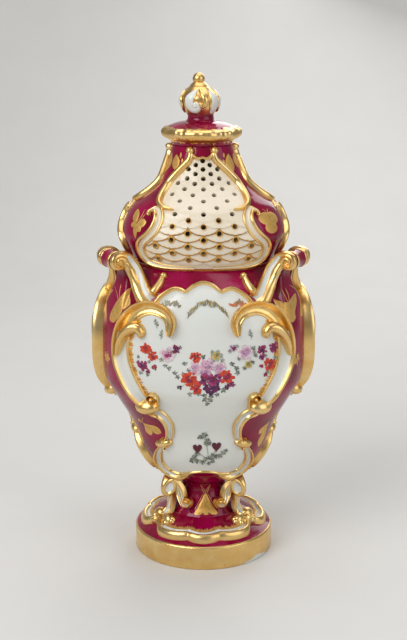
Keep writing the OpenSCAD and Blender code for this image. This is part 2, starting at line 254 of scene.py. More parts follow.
@dataclass(frozen=True)
class Ground:
    """Wall of the vase by degrees from a panel's middle and share of its height."""

    outline: Outline
    flats: Outline
    foot: float
    height: float

    def spot(self, angle: Array, share: Array) -> Array:
        """Points of the wall, in millimetres.

        Args:
            angle: Degrees from the panel's middle.
            share: Shares of the height.

        Returns:
            One point for each pair.
        """
        angle, share = matched(angle, share)
        a = np.radians(angle)
        radius = self.outline.at(share) * (1 - self.flats.at(share) * np.cos(3 * a))
        return np.stack([radius * np.sin(a), -radius * np.cos(a), self.foot + share * self.height], axis=-1)

    def normal(self, angle: Array, share: Array) -> Array:
        """Outward directions of the wall.

        Args:
            angle: Degrees round the axis.
            share: Shares of the height.

        Returns:
            Unit vectors.
        """
        angle, share = np.asarray(angle, float), np.asarray(share, float)
        across = self.spot(angle + PROBE_DEG, share) - self.spot(angle - PROBE_DEG, share)
        up = (self.spot(angle, np.minimum(share + PROBE_SHARE, 1))
              - self.spot(angle, np.maximum(share - PROBE_SHARE, 0)))
        return unit(np.cross(across, up))

    def lifted(self, angle: Array, share: Array, lift: Array) -> Array:
        """Points that stand off the wall by a lift in millimetres."""
        return self.spot(angle, share) + self.normal(angle, share) * np.asarray(lift, float)[..., None]

    def scales(self, angle: float, share: float) -> tuple[float, float]:
        """Millimetres to a degree and to a whole share at a place.

        Args:
            angle: Degrees round the axis.
            share: Share of the height.

        Returns:
            The two measures.
        """
        across = self.spot(angle + PROBE_DEG, share) - self.spot(angle - PROBE_DEG, share)
        up = self.spot(angle, share + PROBE_SHARE) - self.spot(angle, share - PROBE_SHARE)
        return (float(np.linalg.norm(across)) / (2 * PROBE_DEG),
                float(np.linalg.norm(up)) / (2 * PROBE_SHARE))

    def find(self, points: Array) -> tuple[Array, Array]:
        """Degrees and shares of points near the wall."""
        return bearing(points), (points[..., 2] - self.foot) / self.height

    def inner(self, angle: Array, share: Array, wall: float) -> Array:
        """Rows of points on the inside of a wall of some thickness.

        Args:
            angle: Degrees round the axis.
            share: Shares of the height.
            wall: Thickness in millimetres.

        Returns:
            One row for each share.
        """
        points = self.spot(*np.meshgrid(angle, share))
        points[..., :2] *= (1 - wall / np.hypot(points[..., 0], points[..., 1]))[..., None]
        return points


@dataclass(frozen=True)
class SlopeGround(Ground):
    """Sloping top of the plinth, where the share stands for a radius."""

    rim: float = 44.5
    rim_z: float = 15.0
    fall: float = 11 / 22.5
    rise: float = 0.0

    def spot(self, angle: Array, share: Array) -> Array:
        """Points of the slope, in millimetres.

        Args:
            angle: Degrees round the axis.
            share: Shares of the full radius.

        Returns:
            The points.
        """
        angle, share = matched(angle, share)
        a, radius = np.radians(angle), share * SLOPE_SHARE
        z = self.rim_z + (self.rim - radius) * self.fall + self.rise
        return np.stack([radius * np.sin(a), -radius * np.cos(a), z], axis=-1)

    def normal(self, angle: Array, share: Array) -> Array:
        """Upward directions of the slope.

        Args:
            angle: Degrees round the axis.
            share: Shares of the full radius.

        Returns:
            Unit vectors.
        """
        angle, share = matched(angle, share)
        a = np.radians(angle)
        return unit(np.stack([self.fall * np.sin(a), -self.fall * np.cos(a), np.ones_like(a)], axis=-1))

    def find(self, points: Array) -> tuple[Array, Array]:
        """Degrees and radius shares of points near the slope."""
        return bearing(points), np.hypot(points[..., 0], points[..., 1]) / SLOPE_SHARE


class Draft:
    """Mesh in the making, in millimetres, with gold, claret and paint at each point."""

    def __init__(self) -> None:
        """Starts with no points."""
        self.points: list[Array] = []
        self.layers: list[Array] = []
        self.faces: list[tuple[int, ...]] = []
        self.count = 0

    def add(self, points: Array, faces: Iterable[Sequence[int]], gilt: Array | float = 0.0,
            claret: Array | float = 0.0, tint: Array | Tint = (0.0, 0.0, 0.0)) -> None:
        """Adds points and the faces between them.

        Args:
            points: Places in millimetres.
            faces: Rows of point numbers, counted from the first new point.
            gilt: Share of gold at each point, with the edge of the gilding at a half.
            claret: Share of claret at each point, in the same way.
            tint: Linear paint colour at each point.
        """
        points = np.asarray(points, float).reshape(-1, 3)
        layer = np.zeros((len(points), 5))
        layer[:, 0], layer[:, 1], layer[:, 2:] = np.ravel(gilt), np.ravel(claret), tint
        self.points.append(points)
        self.layers.append(layer)
        self.faces.extend(tuple(int(i) + self.count for i in f) for f in faces)
        self.count += len(points)

    def add_grid(self, grid: Array, closed: bool = True, caps: bool = True, **layers: Array) -> None:
        """Adds rows of points with faces between neighbours.

        Args:
            grid: Points by row and column.
            closed: Whether the last column joins the first.
            caps: Whether the first and the last row are closed by a face.
            **layers: Gold, claret or paint for the points.
        """
        rows, cols = grid.shape[:2]
        r, c = np.meshgrid(np.arange(rows - 1), np.arange(cols if closed else cols - 1), indexing="ij")
        d = (c + 1) % cols
        quads = np.stack([r * cols + c, r * cols + d, (r + 1) * cols + d, (r + 1) * cols + c], -1)
        faces = quads.reshape(-1, 4).tolist()
        if caps:
            faces.append(list(range(cols))[::-1])
            faces.append(list(range((rows - 1) * cols, rows * cols)))
        self.add(grid, faces, **layers)

    def join(self, other: "Draft", turn: float = 0.0, mirror: bool = False) -> None:
        """Adds a copy of another draft.

        Args:
            other: The draft to copy.
            turn: Degrees that the copy turns about the upright axis.
            mirror: Whether the copy swaps left and right first.
        """
        points = np.vstack(other.points)
        faces: Iterable[Sequence[int]] = other.faces
        if mirror:
            points = points * [-1, 1, 1]
            faces = [f[::-1] for f in other.faces]
        layer = np.vstack(other.layers)
        self.add(turned(points, turn), faces, layer[:, 0], layer[:, 1], layer[:, 2:])

    def facing(self, turn: float) -> "Draft":
        """Copy of this draft, turned about the upright axis.

        Args:
            turn: Degrees, anticlockwise from above.

        Returns:
            The copy.
        """
        copy = Draft()
        copy.join(self, turn)
        return copy

    def both_sides(self) -> "Draft":
        """This draft together with its mirror image.

        Returns:
            The pair.
        """
        pair = Draft()
        pair.join(self)
        pair.join(self, mirror=True)
        return pair

    def mesh(self, name: str, solid: bool, sharp: float) -> bpy.types.Mesh:
        """Turns the draft into a mesh.

        Args:
            name: Name of the mesh.
            solid: Whether the faces enclose a volume, so that they can be turned outward.
            sharp: Degrees between faces from which an edge stays crisp.

        Returns:
            The new mesh, in metres.
        """
        mesh = bpy.data.meshes.new(name)
        points = np.vstack(self.points)
        points[:, 0] -= KILN_LEAN * np.clip((points[:, 2] - LEAN_FROM) / LEAN_RISE, 0, 1) ** LEAN_POWER
        mesh.from_pydata((points * MM).tolist(), [], self.faces)
        layer = np.vstack(self.layers)
        for i, title in enumerate(("gilt", "claret")):
            values = mesh.attributes.new(title, "FLOAT", "POINT")
            values.data.foreach_set("value", np.ascontiguousarray(layer[:, i], dtype=np.float32))
        if layer[:, 2:].any():
            tints = mesh.attributes.new("tint", "FLOAT_COLOR", "POINT")
            rgba = np.ones((len(layer), 4), dtype=np.float32)
            rgba[:, :3] = layer[:, 2:]
            tints.data.foreach_set("color", rgba.ravel())
        if solid:
            work = bmesh.new()
            work.from_mesh(mesh)
            bmesh.ops.recalc_face_normals(work, faces=work.faces)
            work.to_mesh(mesh)
            work.free()
        mesh.shade_smooth()
        mesh.set_sharp_from_angle(angle=math.radians(sharp))
        return mesh

    def make(self, name: str, finish: bpy.types.Material, carrier: Carrier, slot: Slot,
             stands_for: Sequence[str] = (), solid: bool = True, sharp: float = 62.0) -> bpy.types.Object:
        """Makes a piece of the vase from the draft.

        Args:
            name: Name of the piece.
            finish: Its material.
            carrier: Body that it rides on.
            slot: Material slot of the part; not used.
            stands_for: CAD nodes that it replaces.
            solid: Whether its faces enclose a volume.
            sharp: Degrees from which an edge stays crisp.

        Returns:
            The new object.
        """
        mesh = self.mesh(name, solid, sharp)
        mesh.materials.append(finish)
        piece = bpy.data.objects.new(name, mesh)
        bpy.context.scene.collection.objects.link(piece)
        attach(piece, carrier.value)
        if stands_for:
            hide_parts(*stands_for)
        LOG.info("%s: %d points", name, self.count)
        return piece

    def make_moulding(self, side: Side, node: str, finish: bpy.types.Material, carrier: Carrier, slot: Slot,
                      sharp: float = 62.0) -> None:
        """Makes the copy for one side, in the place of that side's CAD node.

        Args:
            side: Panel or corner that the copy faces.
            node: Name of the nodes without the side.
            finish: Its material.
            carrier: Body that it rides on.
            slot: Material slot of the part.
            sharp: Degrees from which an edge stays crisp.
        """
        self.facing(side.value).make(f"{node}_{side.tag}_modelled", finish, carrier, slot,
                                     (f"{node}_{side.tag}",), sharp=sharp)

    def make_brushwork(self, side: Side, name: str, finish: bpy.types.Material, carrier: Carrier,
                       slot: Slot) -> None:
        """Makes the copy for one side as open skins of paint or gold.

        Args:
            side: Panel or corner that the copy faces.
            name: Name of the pieces without the side.
            finish: Its material.
            carrier: Body that it rides on.
            slot: Material slot of the part.
        """
        self.facing(side.value).make(f"{name}_{side.tag}", finish, carrier, slot, solid=False)


def lathe(profile: Sequence[Sequence[float]], segments: int) -> Draft:
    """Turns a profile about the upright axis.

    Args:
        profile: Rows of radius, height and, where given, gold and claret.
        segments: Columns round the axis.

    Returns:
        A closed turned form.
    """
    rows = np.asarray(profile, float)
    a = round_turns(segments)
    radius, height = np.maximum(rows[:, 0, None], 0.02), rows[:, 1, None]
    grid = np.stack([radius * np.sin(a), -radius * np.cos(a), height + 0 * a], axis=-1)
    draft = Draft()
    gilt = rows[:, 2, None] + 0 * a if rows.shape[1] > 2 else 0.0
    claret = rows[:, 3, None] + 0 * a if rows.shape[1] > 3 else 0.0
    draft.add_grid(grid, gilt=gilt, claret=claret)
    return draft


@dataclass(frozen=True)
class Section:
    """Cut across a moulding: place from the inner edge -1 to the outer edge 1, height and gold."""

    cuts: tuple[tuple[float, float, float], ...]


# Gold outer ridge, white hollow and a lower gold inner ridge, as on a rococo C-scroll.
SCROLL = Section((
    (-1.0, -0.2, 1), (-1.0, 0.1, 1), (-0.94, 0.3, 1), (-0.82, 0.42, 1), (-0.66, 0.42, 1), (-0.52, 0.32, 0.5),
    (-0.42, 0.2, 0), (-0.24, 0.14, 0), (0.0, 0.18, 0), (0.14, 0.32, 0), (0.24, 0.54, 0.4), (0.36, 0.8, 1),
    (0.5, 0.95, 1), (0.68, 1.0, 1), (0.84, 0.93, 1), (0.95, 0.64, 1), (1.0, 0.25, 1), (1.0, -0.2, 1)))
# Half-round gold cord.
CORD = Section((
    (-1.0, -0.2, 1), (-1.0, 0.12, 1), (-0.92, 0.42, 1), (-0.72, 0.74, 1), (-0.4, 0.94, 1), (0.0, 1.0, 1),
    (0.4, 0.94, 1), (0.72, 0.74, 1), (0.92, 0.42, 1), (1.0, 0.12, 1), (1.0, -0.2, 1)))
# White petal with a thin gold edge.
PETAL = Section(tuple((u, h, float(abs(u) > 0.8)) for u, h, _ in CORD.cuts))
# Gold edge over a white slope that runs out into the panel.
SHELL_EDGE = Section((
    (-1.0, -0.25, 0), (-1.0, 0.0, 0), (-0.7, 0.05, 0), (-0.4, 0.14, 0), (-0.16, 0.34, 0.3), (0.06, 0.6, 0.7),
    (0.26, 0.84, 1), (0.46, 0.97, 1), (0.62, 1.0, 1), (0.8, 0.84, 1), (0.94, 0.48, 1), (1.0, 0.1, 1),
    (1.0, -0.25, 1)))
# High gold rim round a broad white hollow, with a low gold line at its inner edge.
RIMMED = Section((
    (-1.0, -0.2, 1), (-1.0, 0.02, 1), (-0.94, 0.1, 1), (-0.84, 0.14, 1), (-0.74, 0.12, 1), (-0.66, 0.08, 0.4),
    (-0.56, 0.05, 0), (-0.36, 0.03, 0), (-0.1, 0.06, 0), (0.16, 0.15, 0), (0.36, 0.34, 0), (0.48, 0.54, 0.3),
    (0.56, 0.75, 1), (0.66, 0.93, 1), (0.77, 1.0, 1), (0.88, 0.93, 1), (0.96, 0.62, 1), (1.0, 0.2, 1),
    (1.0, -0.2, 1)))
# Strap with a broad gold ridge, a white hollow and a narrow gold rim.
STRAP = Section((
    (-1.0, -0.6, 1), (-1.0, 0.3, 1), (-0.92, 0.72, 1), (-0.75, 0.95, 1), (-0.5, 1.0, 1), (-0.26, 0.9, 1),
    (-0.1, 0.66, 1), (-0.02, 0.46, 1), (0.05, 0.34, 0.5), (0.13, 0.28, 0), (0.3, 0.25, 0), (0.48, 0.27, 0),
    (0.6, 0.34, 0), (0.66, 0.46, 0.5), (0.72, 0.65, 1), (0.79, 0.82, 1), (0.87, 0.9, 1), (0.95, 0.7, 1),
    (1.0, 0.3, 1), (1.0, -0.6, 1)))
# Gold reeds with white grooves between them.
REEDS = Section((
    (-1.0, -0.6, 1), (-1.0, 0.3, 1), (-0.9, 0.6, 1), (-0.76, 0.7, 1), (-0.66, 0.56, 0.6), (-0.58, 0.46, 0),
    (-0.45, 0.5, 0), (-0.36, 0.66, 0.5), (-0.25, 0.85, 1), (-0.1, 0.9, 1), (0.0, 0.76, 0.6), (0.1, 0.62, 0),
    (0.25, 0.64, 0), (0.34, 0.78, 0.5), (0.48, 0.95, 1), (0.7, 1.0, 1), (0.88, 0.8, 1), (1.0, 0.35, 1),
    (1.0, -0.6, 1)))
# White trough between two gold rims.
TROUGH = Section((
    (-1.0, -0.6, 1), (-1.0, 0.5, 1), (-0.95, 0.82, 1), (-0.82, 1.0, 1), (-0.66, 0.96, 1), (-0.54, 0.76, 0.5),
    (-0.42, 0.5, 0), (-0.2, 0.32, 0), (0.0, 0.28, 0), (0.2, 0.32, 0), (0.42, 0.5, 0), (0.54, 0.76, 0.5),
    (0.66, 0.96, 1), (0.82, 1.0, 1), (0.95, 0.82, 1), (1.0, 0.5, 1), (1.0, -0.6, 1)))


def sweep(centre: Array, side: Array, facing: Array, width: Array, relief: Array, section: Section,
          gold: Array | float = 0.0) -> Draft:
    """Carries a section along a line.

    Args:
        centre: Points of the line.
        side: Directions from the inner to the outer edge.
        facing: Directions that the relief rises in.
        width: Full widths, in millimetres.
        relief: Heights, in millimetres.
        section: Cut across the moulding.
        gold: Least share of gold along the line.

    Returns:
        A closed moulding.
    """
    cuts = np.array(section.cuts)
    half = np.asarray(width, float)[:, None, None] / 2
    tall = np.asarray(relief, float)[:, None, None]
    grid = (centre[:, None] + side[:, None] * cuts[None, :, 0, None] * half
            + facing[:, None] * cuts[None, :, 1, None] * tall)
    gilt = np.maximum(np.broadcast_to(cuts[:, 2], grid.shape[:2]), np.asarray(gold + 0 * width)[:, None])
    draft = Draft()
    draft.add_grid(grid, gilt=gilt)
    return draft


@dataclass(frozen=True)
class Volute:
    """Rolled end of a scroll: radius, turns, hand (1 anticlockwise from outside) and gold."""

    radius: float
    turns: float
    hand: int
    gold: float = 1.0


class GroundLine:
    """Smooth line on a ground, with a width and a relief along it."""

    def __init__(self, ground: Ground, points: Sequence[Sequence[float]], steps: int = 8,
                 start: Volute | None = None, end: Volute | None = None) -> None:
        """Lays the line.

        Args:
            ground: Wall that carries the line.
            points: Rows of degrees, share, width and relief.
            steps: New rows in each gap.
            start: Volute that rolls up the first end.
            end: Volute that rolls up the last end.
        """
        self.ground = ground
        self.eyes: list[tuple[float, float, float, float, float]] = []
        rows = smooth_line(points, steps)
        gold = np.zeros(len(rows))
        self.body = slice(0, len(rows))
        if end:
            more = self._roll(rows, end)
            gold = np.concatenate([gold, np.linspace(0.2, 1.4, len(more)) * end.gold])
            rows = np.vstack([rows, more])
        if start:
            more = self._roll(rows[::-1], start)[::-1]
            gold = np.concatenate([np.linspace(1.4, 0.2, len(more)) * start.gold, gold])
            rows = np.vstack([more, rows])
            self.body = slice(len(more), len(more) + self.body.stop)
        self.gold = np.clip(gold, 0, 1)
        self.angle, self.share, self.width, self.relief = rows.T
        self.centre = ground.spot(self.angle, self.share)
        self.facing = ground.normal(self.angle, self.share)
        self.side = unit(np.cross(np.gradient(self.centre, axis=0), self.facing))

    def _roll(self, rows: Array, volute: Volute) -> Array:
        """Rows that carry the line on into a volute.

        Args:
            rows: The line, with the end to roll up last.
            volute: Shape of the roll.

        Returns:
            The new rows, from the line's end to the eye.
        """
        a, v, width, relief = rows[-1]
        to_mm = np.array(self.ground.scales(a, v))
        heading = unit((rows[-1, :2] - rows[-2, :2]) * to_mm)
        inward = volute.hand * np.array([-heading[1], heading[0]])
        count = max(int(volute.turns * 26), 8)
        made = []
        for t in np.linspace(0, 1, count + 1)[1:]:
            turn = volute.hand * volute.turns * 2 * math.pi * t
            reach = volute.radius * (1 - 0.7 * t)
            c, s = math.cos(turn), math.sin(turn)
            arm = -np.array([inward[0] * c - inward[1] * s, inward[0] * s + inward[1] * c])
            place = (inward * volute.radius + arm * reach) / to_mm
            wide = min(width * (1 - 0.4 * t), 1.5 * reach + 0.5)
            made.append([a + place[0], v + place[1], wide, relief * (1 + 0.2 * t)])
        eye = inward * volute.radius / to_mm
        self.eyes.append((a + eye[0], v + eye[1], 0.5 * volute.radius, relief * 1.3, volute.gold))
        return np.array(made)

    def relief_draft(self, section: Section) -> Draft:
        """Moulding along the line, with a bead in the eye of each volute.

        Args:
            section: Cut across the moulding.

        Returns:
            The moulding.
        """
        draft = sweep(self.centre, self.side, self.facing, self.width, self.relief, section, self.gold)
        for a, v, radius, tall, gilt in self.eyes:
            draft.join(bead(self.ground, a, v, radius, tall, gilt))
        return draft

    def beside(self, place: float) -> tuple[Array, Array]:
        """Degrees and shares of a line beside this one.

        Args:
            place: Offset in half widths, positive to the outer side.

        Returns:
            Degrees and shares, without the volutes.
        """
        points = self.centre + self.side * (self.width * place / 2)[:, None]
        angle, share = self.ground.find(points)
        return angle[self.body], share[self.body]


def bead(ground: Ground, angle: float, share: float, radius: float, tall: float, gilt: float = 1.0,
         stretch: float = 1.0, turn: float = 0.0) -> Draft:
    """Domed bead on a ground.

    Args:
        ground: Wall that carries it.
        angle: Degrees of its middle.
        share: Share of its middle.
        radius: Radius across, in millimetres.
        tall: Height, in millimetres.
        gilt: Share of gold.
        stretch: Length over width.
        turn: Degrees that its length turns from level.

    Returns:
        The bead.
    """
    deg_mm, share_mm = ground.scales(angle, share)
    ring = round_turns(20)
    lift = np.array([-0.25, 0.0, 0.3, 0.56, 0.78, 0.92, 0.985])
    reach = np.array([1.0, 1.0, 0.97, 0.85, 0.64, 0.4, 0.12])
    x, y = np.cos(ring) * radius * stretch, np.sin(ring) * radius
    c, s = cos_sin(turn)
    across, up = (x * c - y * s)[None] * reach[:, None], (x * s + y * c)[None] * reach[:, None]
    grid = ground.lifted(angle + across / deg_mm, share + up / share_mm,
                         np.repeat(lift[:, None] * tall, len(ring), 1))
    draft = Draft()
    draft.add_grid(grid, gilt=gilt)
    return draft


@dataclass(frozen=True)
class Patch:
    """Sheet laid on a ground, in millimetres across and up from one place."""

    ground: Ground
    angle: float
    share: float
    turn: float = 0.0

    def place(self, x: Array, y: Array, lift: Array) -> Array:
        """Points of the sheet.

        Args:
            x: Millimetres across.
            y: Millimetres up.
            lift: Millimetres off the wall.

        Returns:
            The points.
        """
        deg_mm, share_mm = self.ground.scales(self.angle, self.share)
        c, s = cos_sin(self.turn)
        angle = self.angle + (x * c - y * s) / deg_mm
        share = self.share + (x * s + y * c) / share_mm
        return self.ground.lifted(angle, share, lift)


class Brush:
    """Lays paint or gold on a ground as thin skins: strokes, petals, leaves and dots."""

    # Height of the first skin, the step to each later one, and the depth of a skin's edge, in millimetres.
    FIRST_COAT = 0.1
    COAT_STEP = 0.0004
    EDGE = -0.05

    def __init__(self, seed: int) -> None:
        """Starts with a clean sheet.

        Args:
            seed: Choice of the hand's small differences.
        """
        self.draft = Draft()
        self.rng = random.Random(seed)
        self.coats = 0

    def coat(self) -> float:
        """Height of the next skin, so that later paint lies over earlier paint."""
        self.coats += 1
        return self.FIRST_COAT + self.COAT_STEP * self.coats

    def vary(self, tint: Tint, amount: float = 0.16) -> Tint:
        """Paint of nearly the same colour."""
        shade = 1 + self.rng.uniform(-amount, amount)
        return tuple(min(c * shade * (1 + self.rng.uniform(-amount, amount) / 3), 1.0) for c in tint)

    def skin(self, patch: Patch, edge: Array, inner: Tint, outer: Tint, gilt: float = 0.0,
             heart: Sequence[float] | None = None, rounds: int = 1) -> None:
        """Lays a filled shape.

        Args:
            patch: Sheet that it lies on.
            edge: Points of its edge, in millimetres.
            inner: Paint at its heart.
            outer: Paint at its edge.
            gilt: Share of gold.
            heart: Middle of the shape, or none for the mean of the edge.
            rounds: Rows of points between the heart and the edge, more where the wall bends.
        """
        edge = np.asarray(edge, float)
        after = np.roll(edge, -1, axis=0)
        if np.sum(edge[:, 0] * after[:, 1] - after[:, 0] * edge[:, 1]) < 0:
            edge = edge[::-1]
        middle = np.mean(edge, axis=0) if heart is None else np.asarray(heart, float)
        lift = self.coat()
        reach = np.array([0.02, *np.linspace(0, 0.9, rounds + 2)[1:-1], 0.9, 1.0])
        lifts = np.append(np.full(rounds + 2, lift), self.EDGE)
        rings = middle + (edge - middle)[None] * reach[:, None, None]
        grid = patch.place(rings[..., 0], rings[..., 1], np.repeat(lifts[:, None], len(edge), 1))
        tints = np.array(inner) * (1 - reach[:, None]) + np.array(outer) * reach[:, None]
        count = len(edge)
        faces = [tuple(range(count))]
        for r in range(rounds + 2):
            for i in range(count):
                j = (i + 1) % count
                faces.append((r * count + i, (r + 1) * count + i, (r + 1) * count + j, r * count + j))
        self.draft.add(grid, faces, gilt=gilt, tint=np.repeat(tints, count, axis=0))

    def stroke(self, patch: Patch, line: Sequence[Sequence[float]], width: float, tint: Tint,
               gilt: float = 0.0, tips: tuple[float, float] = (0.6, 0.25), steps: int = 5) -> None:
        """Lays a brush stroke.

        Args:
            patch: Sheet that it lies on.
            line: Points of the stroke, in millimetres.
            width: Widest part, in millimetres.
            tint: Paint.
            gilt: Share of gold.
            tips: Width of the two ends over the widest part.
            steps: Rows between two points.
        """
        rows = smooth_line(line, steps)
        t = np.linspace(0, 1, len(rows))
        heading = unit(np.gradient(rows, axis=0))
        out = np.stack([-heading[:, 1], heading[:, 0]], axis=-1)
        tip = np.where(t < 0.5, *tips)
        swell = tip + (1 - tip) * np.sin(np.pi * t)
        lift = self.coat()
        across = np.array([1.0, 0.55, -0.55, -1.0])
        lifts = np.array([self.EDGE, lift, lift, self.EDGE])
        spread = rows[:, None] + out[:, None] * (across[None, :, None] * (width * swell / 2)[:, None, None])
        grid = patch.place(spread[..., 0], spread[..., 1], np.repeat(lifts[None], len(rows), 0))
        self.draft.add_grid(grid[:, ::-1], closed=False, caps=False, gilt=gilt, tint=tint)

    def trail(self, ground: Ground, angle: Array, share: Array, width: float, tint: Tint,
              gilt: float = 0.0, relief: Array | float = 0.0) -> None:
        """Lays a line of even width along places on a ground.

        Args:
            ground: Wall that carries it.
            angle: Degrees of its places.
            share: Shares of its places.
            width: Width, in millimetres.
            tint: Paint.
            gilt: Share of gold.
            relief: Height of the wall's own relief under the line.
        """
        facing = ground.normal(angle, share)
        centre = ground.spot(angle, share) + facing * np.asarray(relief + 0 * angle)[:, None]
        side = unit(np.cross(np.gradient(centre, axis=0), facing))
        t = np.linspace(0, 1, len(centre))
        half = width / 2 * np.clip(np.minimum(t, 1 - t) * 12, 0.3, 1)
        lift = self.coat()
        rows = [centre + side * (half * u)[:, None] + facing * h
                for u, h in ((-1.0, self.EDGE), (-0.55, lift), (0.55, lift), (1.0, self.EDGE))]
        self.draft.add_grid(np.stack(rows, axis=1), closed=False, caps=False, gilt=gilt, tint=tint)

    def leaf(self, patch: Patch, x: float, y: float, length: float, width: float, heading: float,
             inner: Tint, outer: Tint, gilt: float = 0.0, blunt: float = 0.75) -> None:
        """Lays a leaf or petal.

        Args:
            patch: Sheet that it lies on.
            x: Place of its stalk across.
            y: Place of its stalk up.
            length: Length, in millimetres.
            width: Width, in millimetres.
            heading: Degrees from level that it points to.
            inner: Paint near the stalk.
            outer: Paint near the edge.
            gilt: Share of gold.
            blunt: Small for a pointed leaf, 1 and more for a broad petal.
        """
        t = np.linspace(0, 1, 9)
        bow = np.sin(np.pi * t ** blunt) ** 0.8 * width / 2
        along = np.concatenate([t, t[-2:0:-1]]) * length
        across = np.concatenate([bow, -bow[-2:0:-1]])
        c, s = cos_sin(heading)
        edge = np.stack([x + along * c - across * s, y + along * s + across * c], axis=-1)
        self.skin(patch, edge, inner, outer, gilt, heart=(x + 0.4 * length * c, y + 0.4 * length * s))

    def dot(self, patch: Patch, x: float, y: float, radius: float, tint: Tint, gilt: float = 0.0) -> None:
        """Lays a round dab.

        Args:
            patch: Sheet that it lies on.
            x: Place across, in millimetres.
            y: Place up, in millimetres.
            radius: Its radius, in millimetres.
            tint: Its paint.
            gilt: Its share of gold.
        """
        ring = round_turns(10)
        edge = np.stack([x + radius * np.cos(ring), y + radius * np.sin(ring)], axis=-1)
        self.skin(patch, edge, tint, tint, gilt)

    def posy(self, patch: Patch, x: float, y: float, spread: float, tints: Sequence[Tint]) -> None:
        """Lays a full flower as loose dabs round a darker heart.

        Args:
            patch: Sheet that it lies on.
            x: Place of its middle across.
            y: Place of its middle up.
            spread: Radius, in millimetres.
            tints: Paints from the heart outward.
        """
        count = int(9 + 4.4 * spread)
        first = self.rng.uniform(0, 360)
        for k in range(count, 0, -1):
            far = math.sqrt(k / count)
            turn = first + 137.5 * k + self.rng.uniform(-20, 20)
            tint = tints[min(int(len(tints) * (far ** 1.4 * 0.9 + self.rng.uniform(0, 0.25))),
                             len(tints) - 1)]
            size = spread * self.rng.uniform(0.5, 0.76)
            reach = (far * spread - 0.6 * size) * self.rng.uniform(0.85, 1.05)
            c, s = cos_sin(turn)
            self.leaf(patch, x + reach * c, y + reach * s, size, 0.8 * size, turn + self.rng.uniform(-50, 50),
                      self.vary(tint, 0.3), self.vary(tint, 0.2), blunt=1.15)
        # Three dabs scattered about the heart, at any angle in radians.
        for k in range(3):
            spin = first + 130 * k
            self.dot(patch, x + 0.3 * spread * math.cos(spin), y + 0.3 * spread * math.sin(spin),
                     0.1 * spread + 0.12, self.vary(tints[0], 0.4))

    def spray(self, patch: Patch, x: float, y: float, heading: float, length: float, leaves: int,
              tints: Sequence[Tint], leaf: float) -> None:
        """Lays a stem with leaves on both sides.

        Args:
            patch: Sheet that it lies on.
            x: Place of its foot across.
            y: Place of its foot up.
            heading: Degrees from level that it grows to.
            length: Length, in millimetres.
            leaves: Number of leaves.
            tints: Paints to choose from.
            leaf: Length of a leaf.
        """
        bend = self.rng.uniform(-22, 22)

        def on_stem(t: float) -> tuple[float, float]:
            """Point of the stem at a share of its length."""
            c, s = cos_sin(heading + bend * t)
            return x + length * t * c, y + length * t * s

        self.stroke(patch, [on_stem(t) for t in np.linspace(0, 1, 5)], 0.22, PAINTS.stalk)
        for k in range(leaves):
            t = 0.3 + 0.7 * k / max(leaves - 1, 1)
            lean = heading + bend * t + (50 if k % 2 else -50) * (k < leaves - 1)
            tint = self.rng.choice(list(tints))
            self.leaf(patch, *on_stem(t), leaf * self.rng.uniform(0.75, 1.15), 0.58 * leaf, lean, tint,
                      self.vary(tint, 0.3), blunt=0.85)

    def ivy(self, patch: Patch, x: float, y: float, size: float, tints: Sequence[Tint]) -> None:
        """Lays a cluster of broad leaves round one place.

        Args:
            patch: Sheet that it lies on.
            x: Place of its middle across.
            y: Place of its middle up.
            size: Length of a leaf.
            tints: Paints to choose from.
        """
        first = self.rng.uniform(0, 360)
        for k in range(5):
            tint = self.rng.choice(list(tints))
            self.leaf(patch, x, y, size * self.rng.uniform(0.7, 1.15), 0.6 * size,
                      first + 72 * k + self.rng.uniform(-14, 14), tint, self.vary(tint, 0.35), blunt=0.9)


def add_node(tree: bpy.types.NodeTree, kind: str, inputs: dict | None = None,
             **settings: object) -> bpy.types.Node:
    """Adds a node with its settings and links.

    Args:
        tree: Tree of the material or world.
        kind: Type name of the node.
        inputs: Socket names or numbers, with a value or another node's output each.
        **settings: Properties of the node.

    Returns:
        The new node.
    """
    node = tree.nodes.new(kind)
    for key, value in settings.items():
        setattr(node, key, value)
    for key, value in (inputs or {}).items():
        if isinstance(value, bpy.types.NodeSocket):
            tree.links.new(value, node.inputs[key])
        else:
            node.inputs[key].default_value = value
    return node


def new_tree(name: str) -> tuple[bpy.types.Material, bpy.types.NodeTree]:
    """Makes an empty node material.

    Args:
        name: Name of the material.

    Returns:
        The material and its node tree.
    """
    material = bpy.data.materials.new(name)
    material.use_nodes = True
    material.node_tree.nodes.clear()
    return material, material.node_tree


def grain(tree: bpy.types.NodeTree, size: float, detail: float = 2.0) -> bpy.types.NodeSocket:
    """Adds noise with features of a real size.

    Args:
        tree: Tree to add to.
        size: Size of a feature, in millimetres.
        detail: Finer octaves on top.

    Returns:
        The noise's value, from 0 to 1.
    """
    place = add_node(tree, "ShaderNodeTexCoord").outputs["Object"]
    noise = add_node(tree, "ShaderNodeTexNoise", {"Vector": place, "Scale": 1 / (size * MM),
                                                  "Detail": detail})
    return noise.outputs["Fac"]


def steps_of(tree: bpy.types.NodeTree, value: bpy.types.NodeSocket,
             stops: Sequence[tuple[float, Sequence[float]]]) -> bpy.types.NodeSocket:
    """Adds a colour ramp.

    Args:
        tree: Tree to add to.
        value: Number to look up.
        stops: Places on the ramp and their colours.

    Returns:
        The ramp's colour.
    """
    node = add_node(tree, "ShaderNodeValToRGB", {"Fac": value})
    marks = node.color_ramp.elements
    for i, (place, colour) in enumerate(stops):
        mark = marks[i] if i < len(marks) else marks.new(place)
        mark.position, mark.color = place, colour
    return node.outputs["Color"]


def blend_of(tree: bpy.types.NodeTree, share: bpy.types.NodeSocket, first: object, second: object
             ) -> bpy.types.NodeSocket:
    """Mixes two colours by a share."""
    return add_node(tree, "ShaderNodeMix", {0: share, 6: first, 7: second}, data_type="RGBA").outputs[2]


